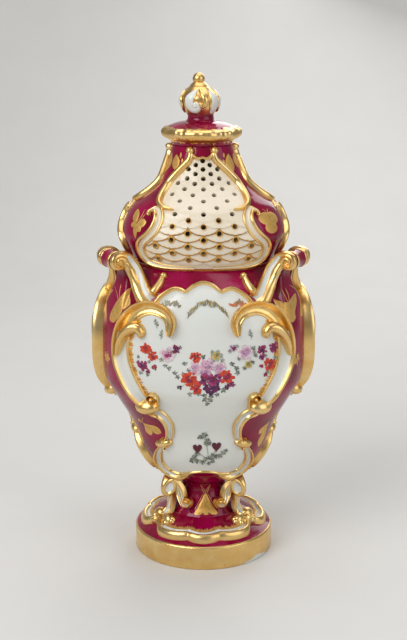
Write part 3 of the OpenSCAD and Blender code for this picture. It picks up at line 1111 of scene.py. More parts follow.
def product_of(tree: bpy.types.NodeTree, first: object, second: object) -> bpy.types.NodeSocket:
    """Multiplies two colours."""
    return add_node(tree, "ShaderNodeMix", {0: 1.0, 6: first, 7: second}, data_type="RGBA",
                    blend_type="MULTIPLY").outputs[2]


def add_surface(tree: bpy.types.NodeTree, inputs: dict) -> None:
    """Adds the shader with its inputs, and the material's output."""
    shader = add_node(tree, "ShaderNodeBsdfPrincipled", inputs)
    add_node(tree, "ShaderNodeOutputMaterial", {"Surface": shader.outputs[0]})


WHITE = (1.0, 1.0, 1.0, 1.0)
BLACK = (0.0, 0.0, 0.0, 1.0)


def grey(value: float) -> tuple[float, float, float, float]:
    """Colour with the same value in each channel."""
    return value, value, value, 1.0


@dataclass(frozen=True)
class PaintedPorcelain:
    """Porcelain, glazed, with fired claret enamel and burnished gilding over the glaze."""

    white: str = "#E0E0D9"
    white_pool: str = "#D3D6D2"
    claret: str = "#880332"
    claret_thin: str = "#9E0C49"
    claret_deep: str = "#700126"
    gold: str = "#EAC682"
    gold_rich: str = "#E2B871"
    gold_rubbed: str = "#F0D69F"
    glaze_rough: float = 0.1
    glaze_specular: float = 0.36
    name: str = "porcelain_glazed_enamelled_and_gilt"

    def material(self) -> bpy.types.Material:
        """Builds the material.

        Returns:
            A material that reads the gold and claret shares of the mesh.
        """
        # Glassy white with faint grey pools, a deep claret with a soft mottle, and soft warm gold.
        material, tree = new_tree(self.name)
        gilt = add_node(tree, "ShaderNodeAttribute", attribute_name="gilt").outputs["Fac"]
        claret = add_node(tree, "ShaderNodeAttribute", attribute_name="claret").outputs["Fac"]
        # The brush leaves the gold's edge uneven by a fraction of a millimetre.
        ragged = add_node(tree, "ShaderNodeMath", {0: grain(tree, 0.9), 1: 0.5},
                          operation="SUBTRACT").outputs[0]
        gilt = add_node(tree, "ShaderNodeMath", {0: ragged, 1: 0.45, 2: gilt},
                        operation="MULTIPLY_ADD").outputs[0]
        gilt = steps_of(tree, gilt, ((0.46, BLACK), (0.54, WHITE)))
        claret = add_node(tree, "ShaderNodeMath", {0: ragged, 1: 0.06, 2: claret},
                          operation="MULTIPLY_ADD").outputs[0]
        claret = steps_of(tree, claret, ((0.485, BLACK), (0.515, WHITE)))
        white = blend_of(tree, grain(tree, 22), linear(self.white), linear(self.white_pool))
        # Enamel fires thinner and thicker over some millimetres, with a finer mottle.
        wine = steps_of(tree, grain(tree, 16, 3), (
            (0.3, linear(self.claret_deep)), (0.52, linear(self.claret)), (0.78, linear(self.claret_thin))))
        gold = steps_of(tree, grain(tree, 9, 4), (
            (0.28, linear(self.gold_rich)), (0.55, linear(self.gold)), (0.82, linear(self.gold_rubbed))))
        colour = blend_of(tree, gilt, blend_of(tree, claret, white, wine), gold)
        rough = blend_of(tree, gilt, grey(self.glaze_rough),
                         steps_of(tree, grain(tree, 6, 3), ((0.3, grey(0.26)), (0.8, grey(0.36)))))
        # Glaze ripples over about 7 mm; gold lies on it with a finer grain.
        ripple = add_node(tree, "ShaderNodeBump", {"Height": grain(tree, 7, 2), "Strength": 0.16,
                                                   "Distance": 0.0004})
        bump = add_node(tree, "ShaderNodeBump", {"Height": grain(tree, 1.4, 3), "Strength": 0.12,
                                                 "Distance": 0.0002, "Normal": ripple.outputs[0]})
        add_surface(tree, {"Base Color": colour, "Metallic": gilt, "Roughness": rough,
                           "Normal": bump.outputs[0], "Specular IOR Level": self.glaze_specular})
        return material


@dataclass(frozen=True)
class OverglazeEnamel:
    """Coloured enamel painted over the glaze and fired on."""

    rough_low: float = 0.16
    rough_high: float = 0.3

    def material(self) -> bpy.types.Material:
        """Builds the material.

        Returns:
            A material that reads the paint of the mesh.
        """
        # Translucent brushwork: the colour pools and thins within a stroke, and the surface stays glossy.
        material, tree = new_tree("overglaze_enamel_hand_painted")
        tint = add_node(tree, "ShaderNodeAttribute", attribute_name="tint").outputs["Color"]
        wash = steps_of(tree, grain(tree, 1.1, 3), ((0.25, grey(0.72)), (0.75, WHITE)))
        rough = steps_of(tree, grain(tree, 1.6), ((0.2, grey(self.rough_low)), (0.8, grey(self.rough_high))))
        add_surface(tree, {"Base Color": product_of(tree, tint, wash), "Roughness": rough})
        return material


@dataclass(frozen=True)
class FlatGilding:
    """Honey gilding painted flat on the enamel, left soft and then chased."""

    gold: str = "#E2B566"
    dull: str = "#CE9F52"
    metal: float = 0.5

    def material(self) -> bpy.types.Material:
        """Builds the material.

        Returns:
            A material that shades gold by the paint of the mesh.
        """
        # Satin gold that hardly mirrors, browner where it was chased or rubbed.
        material, tree = new_tree("honey_gilding_painted_flat")
        tint = add_node(tree, "ShaderNodeAttribute", attribute_name="tint").outputs["Color"]
        leaf = steps_of(tree, grain(tree, 1.8, 4), ((0.3, linear(self.dull)), (0.6, linear(self.gold))))
        rough = steps_of(tree, grain(tree, 1.2, 3), ((0.25, grey(0.38)), (0.75, grey(0.52))))
        add_surface(tree, {"Base Color": product_of(tree, leaf, tint), "Metallic": self.metal,
                           "Roughness": rough})
        return material


@dataclass(frozen=True)
class Finishes:
    """The finishes of the vase, built once."""

    porcelain: bpy.types.Material
    ivory: bpy.types.Material
    enamel: bpy.types.Material
    leaf: bpy.types.Material


@dataclass(frozen=True)
class Palette:
    """Paints of the flowers and shades of the flat gilding, as linear colour."""

    orange: Tint = paint("#D2431F")
    scarlet: Tint = paint("#B32A1C")
    coral: Tint = paint("#E27A4F")
    crimson: Tint = paint("#8E1B45")
    purple: Tint = paint("#74185A")
    plum: Tint = paint("#4E1A4A")
    mauve: Tint = paint("#B58AAE")
    pink: Tint = paint("#D3A3B8")
    blush: Tint = paint("#DDC6CE")
    yellow: Tint = paint("#C9AE63")
    sage: Tint = paint("#A0A698")
    moss: Tint = paint("#868C7C")
    slate: Tint = paint("#676B66")
    stalk: Tint = paint("#A29C7E")
    olive: Tint = paint("#8A8148")
    umber: Tint = paint("#8C7550")
    rose: Tint = paint("#A23A6C")
    blood: Tint = paint("#5A0A26")
    gilt_full: Tint = (1.0, 1.0, 1.0)
    gilt_shade: Tint = (0.55, 0.5, 0.42)
    gilt_dark: Tint = (0.2, 0.16, 0.1)


PAINTS = Palette()


@dataclass(frozen=True)
class Heights:
    """Levels of the vase in millimetres, read from the frame's boxes."""

    stem_z: float
    stem_h: float
    body_z: float
    body_h: float
    cover_z: float
    cover_h: float
    collar_z: float
    collar_h: float
    neck_z: float
    bud_z: float
    bud_h: float
    tip_z: float
    top_z: float

    @classmethod
    def from_frame(cls) -> "Heights":
        """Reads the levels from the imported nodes.

        Returns:
            The levels, in millimetres.
        """
        def levels(node: str) -> tuple[float, float]:
            """Lowest and highest level of a node, in millimetres."""
            low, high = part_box(node)
            return round(low[2] / MM, 2), round(high[2] / MM, 2)

        stem, body, cover = levels("stem"), levels("body_shell"), levels("cover_shell")
        collar, neck, bud, tip = (levels(n) for n in ("collar", "finial_neck", "finial_bud", "finial_tip"))
        return cls(stem[0], body[0] - stem[0], body[0], body[1] - body[0], cover[0], collar[0] - cover[0],
                   collar[0], neck[0] - collar[0], neck[0], bud[0], tip[0] - bud[0], tip[0], tip[1])


LEVELS = Heights.from_frame()

BODY = Ground(
    Outline(((0, 19), (0.063, 29.51), (0.154, 38.44), (0.294, 45.26), (0.406, 53.63), (0.503, 60.39),
             (0.68, 62), (0.818, 60.02), (0.909, 54), (0.958, 47.64), (1, 42))),
    Outline(((0, 0.02), (0.3, 0.06), (0.7, 0.08), (1, 0.048))), LEVELS.body_z, LEVELS.body_h)
COVER = Ground(
    Outline(((0, 42), (0.106, 45.6), (0.211, 48.6), (0.282, 49.3), (0.366, 48.2), (0.465, 45), (0.521, 41.8),
             (0.606, 34), (0.69, 27.6), (0.775, 23.8), (0.873, 20.96), (1, 18.5))),
    Outline(((0, 0.048), (0.3, 0.06), (0.6, 0.04), (1, 0))), LEVELS.cover_z, LEVELS.cover_h)
STEM = Ground(
    Outline(((0, 22), (0.2, 18.9), (0.45, 16.95), (0.72, 15), (0.89, 16.2), (1, 19))), ROUND,
    LEVELS.stem_z, LEVELS.stem_h)
BUD = Ground(
    Outline(((0, 8.48), (0.25, 10.5), (0.56, 11.3), (0.74, 9.83), (1, 5.65))), ROUND,
    LEVELS.bud_z, LEVELS.bud_h)
SLOPE = SlopeGround(ROUND, ROUND, 0, SLOPE_SHARE)


def inside(outline: Sequence[Sequence[float]], x: Array, y: Array) -> Array:
    """Signed distance from places to a closed outline.

    Args:
        outline: Corners of the outline.
        x: Places across.
        y: Places up.

    Returns:
        Distances, positive inside.
    """
    corners = np.asarray(outline, float)
    best = np.full(x.shape, 1e9)
    within = np.zeros(x.shape, bool)
    for (x0, y0), (x1, y1) in zip(corners, np.roll(corners, -1, axis=0)):
        dx, dy = x1 - x0, y1 - y0
        t = np.clip(((x - x0) * dx + (y - y0) * dy) / max(dx * dx + dy * dy, 1e-9), 0, 1)
        best = np.minimum(best, np.hypot(x - x0 - t * dx, y - y0 - t * dy))
        if y0 != y1:
            cross = ((y0 > y) != (y1 > y)) & (x < dx * (y - y0) / dy + x0)
            within ^= cross
    return np.where(within, best, -best)


def from_panel(angle: Array) -> Array:
    """Degrees from the middle of the nearest panel."""
    return (np.asarray(angle, float) + 60) % 120 - 60


@dataclass
class Plinth:
    """Round plinth: gilt band, claret slope and a hollow underneath."""

    finishes: Finishes
    radius: float = 44.5
    band_h: float = 15.0
    ring_w: float = 7.0
    hollow: float = 10.0
    edge: float = 0.7

    def build(self) -> None:
        """Builds the plinth."""
        r, h, e = self.radius, self.band_h, self.edge
        bore = r - self.ring_w
        seat_r, seat_z = 22.0, LEVELS.stem_z
        wall = [(r, z, 1, 0) for z in np.linspace(e, h - e, 9)]
        slope = [(r - 1.4 + (seat_r - r + 1.4) * t, h + 0.5 + (seat_z - h - 0.5) * t, 0, 1)
                 for t in np.linspace(0, 1, 14)]
        profile = [(0.1, self.hollow, 0, 0), (bore - 2, self.hollow, 0, 0), (bore, self.hollow - 2, 0, 0),
                   (bore, 0.6, 0, 0), (bore + 0.5, 0, 0, 0), (r - e - 0.5, 0, 0, 0), (r - e, 0.02, 0.3, 0),
                   (r - 0.25, 0.28, 1, 0), *wall, (r - 0.16, h - 0.3, 1, 0), (r - 0.5, h + 0.05, 1, 0),
                   (r - 0.95, h + 0.3, 0.75, 0.6), *slope, (16, seat_z - 0.3, 0, 1),
                   (0.1, seat_z - 0.3, 0, 1)]
        draft = lathe(profile, 180)
        self._rub(draft)
        draft.make("plinth_gilt_and_glazed", self.finishes.porcelain, Carrier.VASE, Slot.GILDING, ("plinth",),
                   sharp=40)

    def _rub(self, draft: Draft) -> None:
        """Wears the gold off the lower edge in a few places.

        Args:
            draft: The plinth, whose gold is worn in place.
        """
        points, layer = draft.points[0], draft.layers[0]
        angle = bearing(points)
        patch = np.exp(-((angle - 50) / 17) ** 2) + 0.35 * np.exp(-((angle + 128) / 11) ** 2)
        worn = (patch * 3.4 + 0.9 * waves(angle, 4) * (patch > 0.1)) - points[:, 2]
        low = (points[:, 2] < 6) & (np.hypot(points[:, 0], points[:, 1]) > self.radius - 1)
        layer[low, 0] -= np.clip(worn[low] * 0.8, 0, 1)


@dataclass
class Foot:
    """Stem, three scroll legs and three lobed shells on the plinth."""

    finishes: Finishes
    shell_half: float = 56.0
    shell_r: float = 38.7
    cusp: float = 14.7
    shell_inner: float = 23.5
    field_h: float = 2.0
    leaf_w: float = 8.6
    leaf_h: float = 14.2

    def build(self) -> None:
        """Builds the stem, the shells and the legs."""
        self._stem()
        shell, paintwork = self._shell(), self._shell_fringe()
        for face in Face:
            shell.make_moulding(face, "base_shell", self.finishes.porcelain, Carrier.VASE, Slot.GILDING, 50)
            paintwork.make_brushwork(face, "stem_moth_and_fringe", self.finishes.leaf, Carrier.VASE,
                                     Slot.GILDING)
        leg = self._leg()
        for corner in Corner:
            leg.make_moulding(corner, "scroll_leg", self.finishes.porcelain, Carrier.VASE, Slot.GILDING)

    def _stem(self) -> None:
        """Turned stem in claret."""
        rows = [(STEM.outline.at(v), LEVELS.stem_z + v * LEVELS.stem_h, 0, 1) for v in np.linspace(0, 1, 40)]
        ends = [(6, LEVELS.stem_z, 0, 0), *rows, (6, LEVELS.stem_z + LEVELS.stem_h, 0, 0)]
        lathe(ends, 120).make("stem_glazed", self.finishes.porcelain, Carrier.VASE, Slot.CLARET, ("stem",),
                              sharp=50)

    def _edge(self, angle: Array) -> Array:
        """Radius of the shell's lobed edge.

        Args:
            angle: Degrees from the shell's middle.

        Returns:
            Radii in millimetres.
        """
        away = np.abs(angle)
        middle = 2.2 * np.cos(np.pi / 2 * np.clip(away / self.cusp, 0, 1)) ** 0.7
        outer = 1.8 * np.sin(np.pi * np.clip((away - self.cusp) / 42, 0, 1)) ** 0.8
        return self.shell_r + middle + outer - 4.5 * np.clip((away - 44) / 12, 0, 1) ** 2

    def _shell(self) -> Draft:
        """Lobed shell: claret field, white groove and a thick gold lip.

        Returns:
            The form as a draft.
        """
        angle = np.linspace(-self.shell_half, self.shell_half, 121)
        edge = self._edge(angle)
        rows = ((None, -0.4, 0, 1), (None, 1.2, 0, 1), (-12.5, self.field_h, 0, 1),
                (-8.0, self.field_h, 0, 1), (-6.2, self.field_h, 0, 1), (-5.7, 2.15, 0.6, 0.4),
                (-5.3, 2.0, 0.3, 0), (-4.9, 1.5, 0, 0), (-3.9, 1.35, 0, 0), (-3.3, 1.9, 0, 0),
                (-2.95, 2.8, 0.7, 0), (-2.4, 3.7, 1, 0), (-1.7, 4.2, 1, 0), (-1.0, 4.2, 1, 0),
                (-0.3, 3.8, 1, 0), (0.2, 2.9, 1, 0), (0.45, 1.8, 1, 0), (0.5, 0.8, 1, 0), (0.45, -0.4, 1, 0))
        swell = 1 - 0.14 * np.exp(-((np.abs(angle) - self.cusp) / 2.5) ** 2)
        columns = []
        for inward, height, *_ in rows:
            radius = np.full_like(angle, self.shell_inner) if inward is None else edge + inward
            tall = height * swell if height > 2.1 else height + 0 * angle
            columns.append(SLOPE.spot(angle, radius / SLOPE_SHARE) + np.stack([0 * tall, 0 * tall, tall], -1))
        grid = np.stack(columns, axis=1)
        paintwork = np.array([r[2:] for r in rows])
        draft = Draft()
        draft.add_grid(grid, gilt=np.broadcast_to(paintwork[:, 0], grid.shape[:2]),
                       claret=np.broadcast_to(paintwork[:, 1], grid.shape[:2]))
        # The lip's ends turn in towards the stem and roll up.
        end = GroundLine(SLOPE, ((53.0, 0.349, 3.6, 3.4), (56.2, 0.338, 3.6, 3.7), (56.8, 0.316, 3.2, 3.7),
                                 (55.6, 0.298, 2.6, 3.4)), end=Volute(1.6, 0.7, 1))
        draft.join(end.relief_draft(CORD).both_sides())
        return draft

    def _shell_fringe(self) -> Draft:
        """Gold brushwork: the fringe on a shell's field and the moth on the stem.

        Returns:
            The brushwork as a draft.
        """
        brush = Brush(31)
        ground = SlopeGround(ROUND, ROUND, 0, SLOPE_SHARE, rise=self.field_h)
        for angle in np.arange(-49, 49.1, 1.0):
            edge = float(self._edge(np.array(angle)))
            patch = Patch(ground, angle, (edge - 5.8) / SLOPE_SHARE)
            reach = 1.5 + 1.3 * abs(math.sin(angle * 0.42)) + brush.rng.uniform(-0.4, 0.5)
            lean = brush.rng.uniform(-0.5, 0.5)
            brush.stroke(patch, ((0, 0.5), (lean * 0.4, -reach * 0.5), (lean, -reach)), 0.7,
                         brush.vary(PAINTS.gilt_full, 0.2), 1.0, (1.0, 0.2), 3)
        self._moth(brush, Patch(STEM, 4.5, 0.34))
        return brush.draft

    def _moth(self, brush: Brush, patch: Patch) -> None:
        """Moth at rest with folded wings and two pairs of feelers.

        Args:
            brush: Brush to lay it with.
            patch: Sheet on the stem.
        """
        wing = [(0, 6.8), (-1.2, 6.0), (-3.0, 2.0), (-5.5, -3.0), (-6.7, -6.2), (-5.7, -6.9), (-3.6, -6.6),
                (-2.2, -5.9), (-0.7, -6.6), (0, -6.4), (0.7, -6.6), (2.2, -5.9), (3.6, -6.6), (5.7, -6.9),
                (6.7, -6.2), (5.5, -3.0), (3.0, 2.0), (1.2, 6.0)]
        brush.skin(patch, np.array(wing), (0.62, 0.55, 0.4), (1, 0.98, 0.9), 1.0, heart=(0, -1.5))
        brush.leaf(patch, 0, -0.5, 6.4, 2.3, 90, PAINTS.gilt_full, PAINTS.gilt_shade, 1.0)
        for side in (-1, 1):
            for line in (((-side * 0.9, 5.8), (side * 0.5, 8.2), (side * 3.4, 13.8)),
                         ((side * 0.7, 5.8), (side * 2.5, 9.6), (side * 3.4, 13.8)),
                         ((side * 1.8, 6.4), (side * 4.3, 1.4), (side * 7.0, -3.8))):
                brush.stroke(patch, line, 0.45, PAINTS.gilt_full, 1.0)
            brush.dot(patch, side * 1.7, -5.7, 0.6, PAINTS.gilt_dark, 1.0)
            brush.stroke(patch, ((side * 0.8, 3.6), (side * 2.8, -1.0), (side * 5.0, -5.6)), 0.35,
                         PAINTS.gilt_shade, 1.0)

    def _leg(self) -> Draft:
        """Scroll leg in the frame of a corner: folded leaf, stalk, side straps, tendrils and a foot.

        Returns:
            The form as a draft.
        """
        draft = Draft()
        path = smooth_line(((20.0, 54.0, 3.4), (22.2, 51.0, 4.4), (23.4, 46.4, 5.2), (23.4, 42.0, 5.4),
                            (23.4, 38.2, 5.2), (23.4, 34.6, 5.0), (23.8, 30.6, 5.2), (25.4, 27.0, 6.2),
                            (28.6, 24.2, 7.2)), 7)
        centre = np.stack([0 * path[:, 0], -path[:, 0], path[:, 1]], axis=-1)
        side = np.tile([1.0, 0.0, 0.0], (len(path), 1))
        facing = unit(np.cross(np.gradient(centre, axis=0), side))
        draft.join(sweep(centre, side, facing, path[:, 2], np.full(len(path), 2.4), TROUGH))
        pair = self._almond((3.0, -26.6, 44.4), (0.8, -0.6, 0.0), 22)
        tendril = Ground(Outline(((0, 25.0), (0.25, 22.4), (0.5, 21.0), (0.75, 21.8), (1, 25.5))), ROUND,
                         28.0, 23.0)
        fall = GroundLine(tendril, ((9, 0.98, 2.6, 2.0), (11.5, 0.84, 4.6, 2.6), (14.5, 0.68, 6.2, 3.0),
                                    (18, 0.52, 6.2, 3.0), (21.5, 0.38, 4.8, 3.0), (24.5, 0.28, 3.4, 2.8)),
                          end=Volute(3.2, 1.05, 1))
        pair.join(fall.relief_draft(REEDS))
        # Leaf-like lumps where the leg meets the plinth.
        for angle, radius, turn, size, tall in ((11.0, 0.288, 30, 4.2, 5.4), (17.5, 0.283, 60, 2.2, 4.2),
                                                (18.0, 0.3, 20, 2.1, 4.0), (12.5, 0.319, 80, 2.3, 3.8),
                                                (4.5, 0.322, 90, 2.2, 3.6)):
            pair.join(bead(SLOPE, angle, radius, size, tall, 1.0, 1.25, turn))
        draft.join(pair.both_sides())
        return draft

    def _almond(self, middle: Sequence[float], facing: Sequence[float], lean: float) -> Draft:
        """Upright leaf: broad gold rim round a white hollow.

        Args:
            middle: Its middle, in millimetres.
            facing: Direction that it looks in.
            lean: Degrees that its top leans to its right.

        Returns:
            The leaf.
        """
        t = round_turns(36)
        half = self.leaf_w / 2 * np.sin(t) * np.abs(np.sin(t)) ** 0.3 * (1 - 0.12 * np.cos(t))
        edge = np.stack([half, self.leaf_h / 2 * np.cos(t)], axis=-1)
        out = unit(np.array(facing, float))
        across = unit(np.cross([0.0, 0.0, 1.0], out))
        up = np.cross(out, across)
        c, s = cos_sin(lean)
        across, up = across * c - up * s, up * c + across * s
        rows = ((0.9, -4.0, 1), (1.0, -1.0, 1), (0.99, 0.5, 1), (0.9, 1.3, 1), (0.74, 1.6, 1),
                (0.58, 1.3, 0.8), (0.48, 0.8, 0.2), (0.36, 0.5, 0), (0.2, 0.4, 0), (0.04, 0.4, 0))

        def level(reach: float, lift: float) -> Array:
            """Ring of the almond at a share of its size and at a height."""
            wide, tall = np.outer(edge[:, 0] * reach, across), np.outer(edge[:, 1] * reach, up)
            return np.array(middle) + wide + tall + out * lift

        grid = np.array([level(reach, lift) for reach, lift, _ in rows])
        draft = Draft()
        draft.add_grid(grid, gilt=np.array([g for *_, g in rows])[:, None] + 0 * grid[..., 0])
        return draft


# Mouldings of a body panel, as rows of degrees from its middle, share of the height, width and relief.
UPPER_LINE = ((-20.4, 0.748, 2.6, 3.0), (-19.6, 0.772, 5.6, 4.2), (-19.6, 0.808, 7.2, 4.8),
              (-23.0, 0.84, 7.8, 4.8), (-29.0, 0.856, 8.0, 4.8), (-34.6, 0.855, 8.4, 5.0),
              (-39.6, 0.837, 8.8, 5.4), (-43.6, 0.802, 9.2, 6.0), (-46.2, 0.75, 9.4, 6.3),
              (-47.2, 0.684, 9.6, 6.4), (-46.6, 0.628, 9.6, 6.3), (-44.0, 0.566, 9.4, 6.0),
              (-40.4, 0.504, 9.0, 5.4), (-37.4, 0.462, 7.8, 4.8), (-34.0, 0.44, 6.2, 4.4),
              (-30.6, 0.446, 4.6, 3.8), (-28.8, 0.47, 3.6, 3.4))
LEAF_LINE = ((-48.6, 0.65, 1.0, 5.6), (-47.6, 0.694, 3.4, 6.2), (-45.4, 0.738, 5.6, 6.4),
             (-42.4, 0.766, 7.0, 6.2), (-39.4, 0.777, 7.2, 5.6), (-37.0, 0.772, 6.6, 5.0),
             (-35.6, 0.755, 5.4, 4.4), (-36.3, 0.738, 2.8, 3.0))
LOWER_LINE = ((-38.5, 0.408, 3.4, 2.6), (-34, 0.403, 5.4, 3.6), (-29.7, 0.394, 5.6, 3.7),
              (-26.6, 0.362, 5.6, 3.7), (-26.0, 0.321, 5.6, 3.7), (-27.9, 0.278, 5, 3.5),
              (-31.5, 0.247, 3.6, 3))
FOOT_LINE = ((-36.5, 0.222, 3, 2.4), (-42.5, 0.176, 5, 3.4), (-46.5, 0.122, 5.6, 3.7), (-44, 0.078, 5.6, 3.6),
             (-33, 0.063, 4.6, 3.2), (-25, 0.068, 3.4, 2.6), (-18, 0.079, 1.8, 1.8))
LIP_LINE = ((26, 0.064, 1.8, 1.6), (18, 0.079, 1.7, 1.4), (10, 0.089, 1.6, 1.2), (0, 0.093, 1.6, 1.2),
            (-10, 0.089, 1.6, 1.2), (-18, 0.079, 1.7, 1.4), (-26, 0.064, 1.8, 1.6))
CREST_LINE = ((28.6, 0.872, 6.0, 2.8), (25.6, 0.902, 5.6, 3.2), (20.0, 0.924, 5.2, 3.2),
              (15.6, 0.924, 4.8, 3.0), (11.4, 0.918, 4.6, 2.8), (6.2, 0.938, 5.0, 3.2), (0, 0.947, 5.2, 3.3),
              (-6.2, 0.938, 5.0, 3.2), (-11.4, 0.918, 4.6, 2.8), (-15.6, 0.924, 4.8, 3.0),
              (-20.0, 0.924, 5.2, 3.2), (-25.6, 0.902, 5.6, 3.2), (-28.6, 0.872, 6.0, 2.8))
FLARE_LINE = ((-36.0, 0.904, 1.6, 1.2), (-35.2, 0.9065, 3.0, 2.2), (-33.9, 0.914, 4.6, 3.0),
              (-32.7, 0.927, 5.0, 3.2), (-31.6, 0.948, 4.4, 3.2), (-31.4, 0.968, 3.6, 3.0))


@dataclass
class Pot:
    """Three-sided body with its panels, frames, painted flowers and gilt insects."""

    finishes: Finishes
    wall: float = 4.5
    mouth_r: float = 33.0
    mouth_depth: float = 9.0
    columns: int = 360
    rows: int = 170
    reserve: list[tuple[float, float]] = field(default_factory=list)
    shell: Draft = field(default_factory=Draft)

    def build(self) -> None:
        """Builds the body, the frames and the painting."""
        self.reserve = self._reserve()
        self._shell()
        frames = {"panel_crest": self._crest(), "upper_scrolls": self._upper(),
                  "lower_scrolls": self._lower()}
        for face in Face:
            for name, draft in frames.items():
                draft.make_moulding(face, name, self.finishes.porcelain, Carrier.VASE, Slot.GILDING)
            flowers = PanelPainting(100 + int(face.value)).build()
            flowers.make_brushwork(face, "painted_flowers", self.finishes.enamel, Carrier.VASE, Slot.WHITE)
            gold = self._gold_work(200 + int(face.value))
            gold.make_brushwork(face, "brushed_gold", self.finishes.leaf, Carrier.VASE, Slot.GILDING)

    def _reserve(self) -> list[tuple[float, float]]:
        """Outline of the white panel, in millimetres across and up, under the frame's middle.

        Returns:
            Points round the outline.
        """
        left = [*[(a, v) for a, v, *_ in CREST_LINE[6:]], (-33, 0.86),
                *[(a, v) for a, v, *_ in UPPER_LINE[5:15]], (-36.5, 0.415),
                *[(a, v) for a, v, *_ in LOWER_LINE[1:]], *[(a, v) for a, v, *_ in FOOT_LINE[:6]],
                (-18, 0.08), (-10, 0.09), (0, 0.094)]
        ring = [*left, *[(-a, v) for a, v in left[-2:0:-1]]]
        dense = smooth_line([*ring, ring[0]], 5)[:-1]
        return [(a * BODY_DEG_MM, v * BODY.height) for a, v in dense]

    def _shell(self) -> None:
        """Hollow body: claret corners, white panels and a white inside."""
        angle = np.linspace(0, 360, self.columns, endpoint=False)
        share = np.linspace(0, 1, self.rows)
        a, v = np.meshgrid(angle, share)
        outer = BODY.spot(a, v)
        depth = inside(self.reserve, from_panel(a) * BODY_DEG_MM, v * BODY.height)
        claret = np.clip(0.5 - depth / 8, 0, 1)
        claret[v < 0.055] = 1
        seat = BODY.foot + BODY.height
        mouth = [level_ring(angle, self.mouth_r + out, seat - down) for out, down in (
            (5, 0), (0.8, 0), (0, 0.8), (0, self.mouth_depth), (6, self.mouth_depth + 1.2))]
        inner = BODY.inner(angle, np.linspace(0.88, 0.05, 30), self.wall)
        grid = np.concatenate([outer, np.array(mouth), inner])
        colour = np.zeros(grid.shape[:2])
        colour[:self.rows] = claret
        self.shell.add_grid(grid, claret=colour)
        self.shell.make("body_shell_glazed", self.finishes.porcelain, Carrier.VASE, Slot.CLARET,
                        ("body_shell",), sharp=70)

    def _crest(self) -> Draft:
        """Three-lobed gold edge over the panel, with a knob on each shoulder.

        Returns:
            The form as a draft.
        """
        draft = GroundLine(BODY, CREST_LINE).relief_draft(SHELL_EDGE)
        knob = GroundLine(BODY, FLARE_LINE).relief_draft(CORD)
        knob.join(bead(BODY, -31.0, 0.974, 2.3, 3.8))
        draft.join(knob.both_sides())
        return draft

    def _upper(self) -> Draft:
        """Two large C-scrolls with a leaf curl inside each.

        Returns:
            The form as a draft.
        """
        line = GroundLine(BODY, UPPER_LINE, end=Volute(2.8, 0.8, 1))
        run = np.arange(len(line.gold))
        line.gold = np.maximum(line.gold, np.maximum(ramp(run, 72, 56), ramp(run, 105, 112)))
        half = line.relief_draft(RIMMED)
        half.join(GroundLine(BODY, LEAF_LINE).relief_draft(CORD))
        half.join(bead(BODY, -36.2, 0.432, 4.7, 7.0, 1.0, 1.7, 6))
        return half.both_sides()

    def _lower(self) -> Draft:
        """Two S-scrolls and two foot scrolls joined by a lip.

        Returns:
            The form as a draft.
        """
        half = GroundLine(BODY, LOWER_LINE, end=Volute(2.0, 0.75, -1)).relief_draft(SCROLL)
        half.join(GroundLine(BODY, FOOT_LINE, start=Volute(1.8, 0.6, -1)).relief_draft(SCROLL))
        half.join(bead(BODY, -34.4, 0.236, 3.2, 3.8, 1.0, 2.0, 16))
        half.join(GroundLine(BODY, ((-44, 0.056, 4.0, 3.2), (-34, 0.05, 5.4, 3.6), (-25, 0.058, 3.6, 2.6),
                                    (-18, 0.074, 1.2, 1.4))).relief_draft(CORD))
        pair = half.both_sides()
        pair.join(GroundLine(BODY, LIP_LINE).relief_draft(CORD))
        return pair

    def _gold_work(self, seed: int) -> Draft:
        """Fringe inside the C-scrolls, and insects on the claret.

        Args:
            seed: Choice of the hand's small differences.

        Returns:
            The brushwork.
        """
        brush = Brush(seed)
        scroll = GroundLine(BODY, UPPER_LINE, 10)
        for side in (-1, 1):
            near_a, near_v = scroll.beside(-0.96)
            for k in range(62, 132):
                patch = Patch(BODY, side * float(near_a[k]), float(near_v[k]))
                step_a, step_v = near_a[k + 1] - near_a[k - 1], near_v[k + 1] - near_v[k - 1]
                along = unit(np.array([side * step_a * BODY_DEG_MM, step_v * BODY.height]))
                inward = np.array([-along[1], along[0]]) * side
                reach = 1.9 + 1.2 * abs(math.sin(k * 0.45)) + brush.rng.uniform(-0.3, 0.4)
                tip = inward * reach + along * brush.rng.uniform(-0.2, 0.9)
                brush.stroke(patch, (-0.5 * inward, 0.5 * tip, tip), 1.0, brush.vary((0.85, 0.7, 0.46), 0.3),
                             1.0, (1.0, 0.35), 3)
        for patch, wings in ((Patch(BODY, -49.4, 0.318), ((-74, 10.4, 6.6), (-25, 14.0, 7.4),
                                                          (155, 4.4, 2.8))),
                             (Patch(BODY, 57.0, 0.312), ((-95, 21.0, 7.6), (-128, 11.0, 6.0)))):
            for heading, length, wide in wings:
                brush.leaf(patch, 0, 0, length, wide, heading, (0.85, 0.82, 0.72), PAINTS.gilt_full, 1.0, 1.9)
            brush.stroke(patch, ((0.3, 1.0), (1.4, 3.6), (3.2, 5.6)), 0.4, PAINTS.gilt_full, 1.0)
        self._fly(brush, Patch(BODY, -61.5, 0.6, 20), 0.9)
        return brush.draft

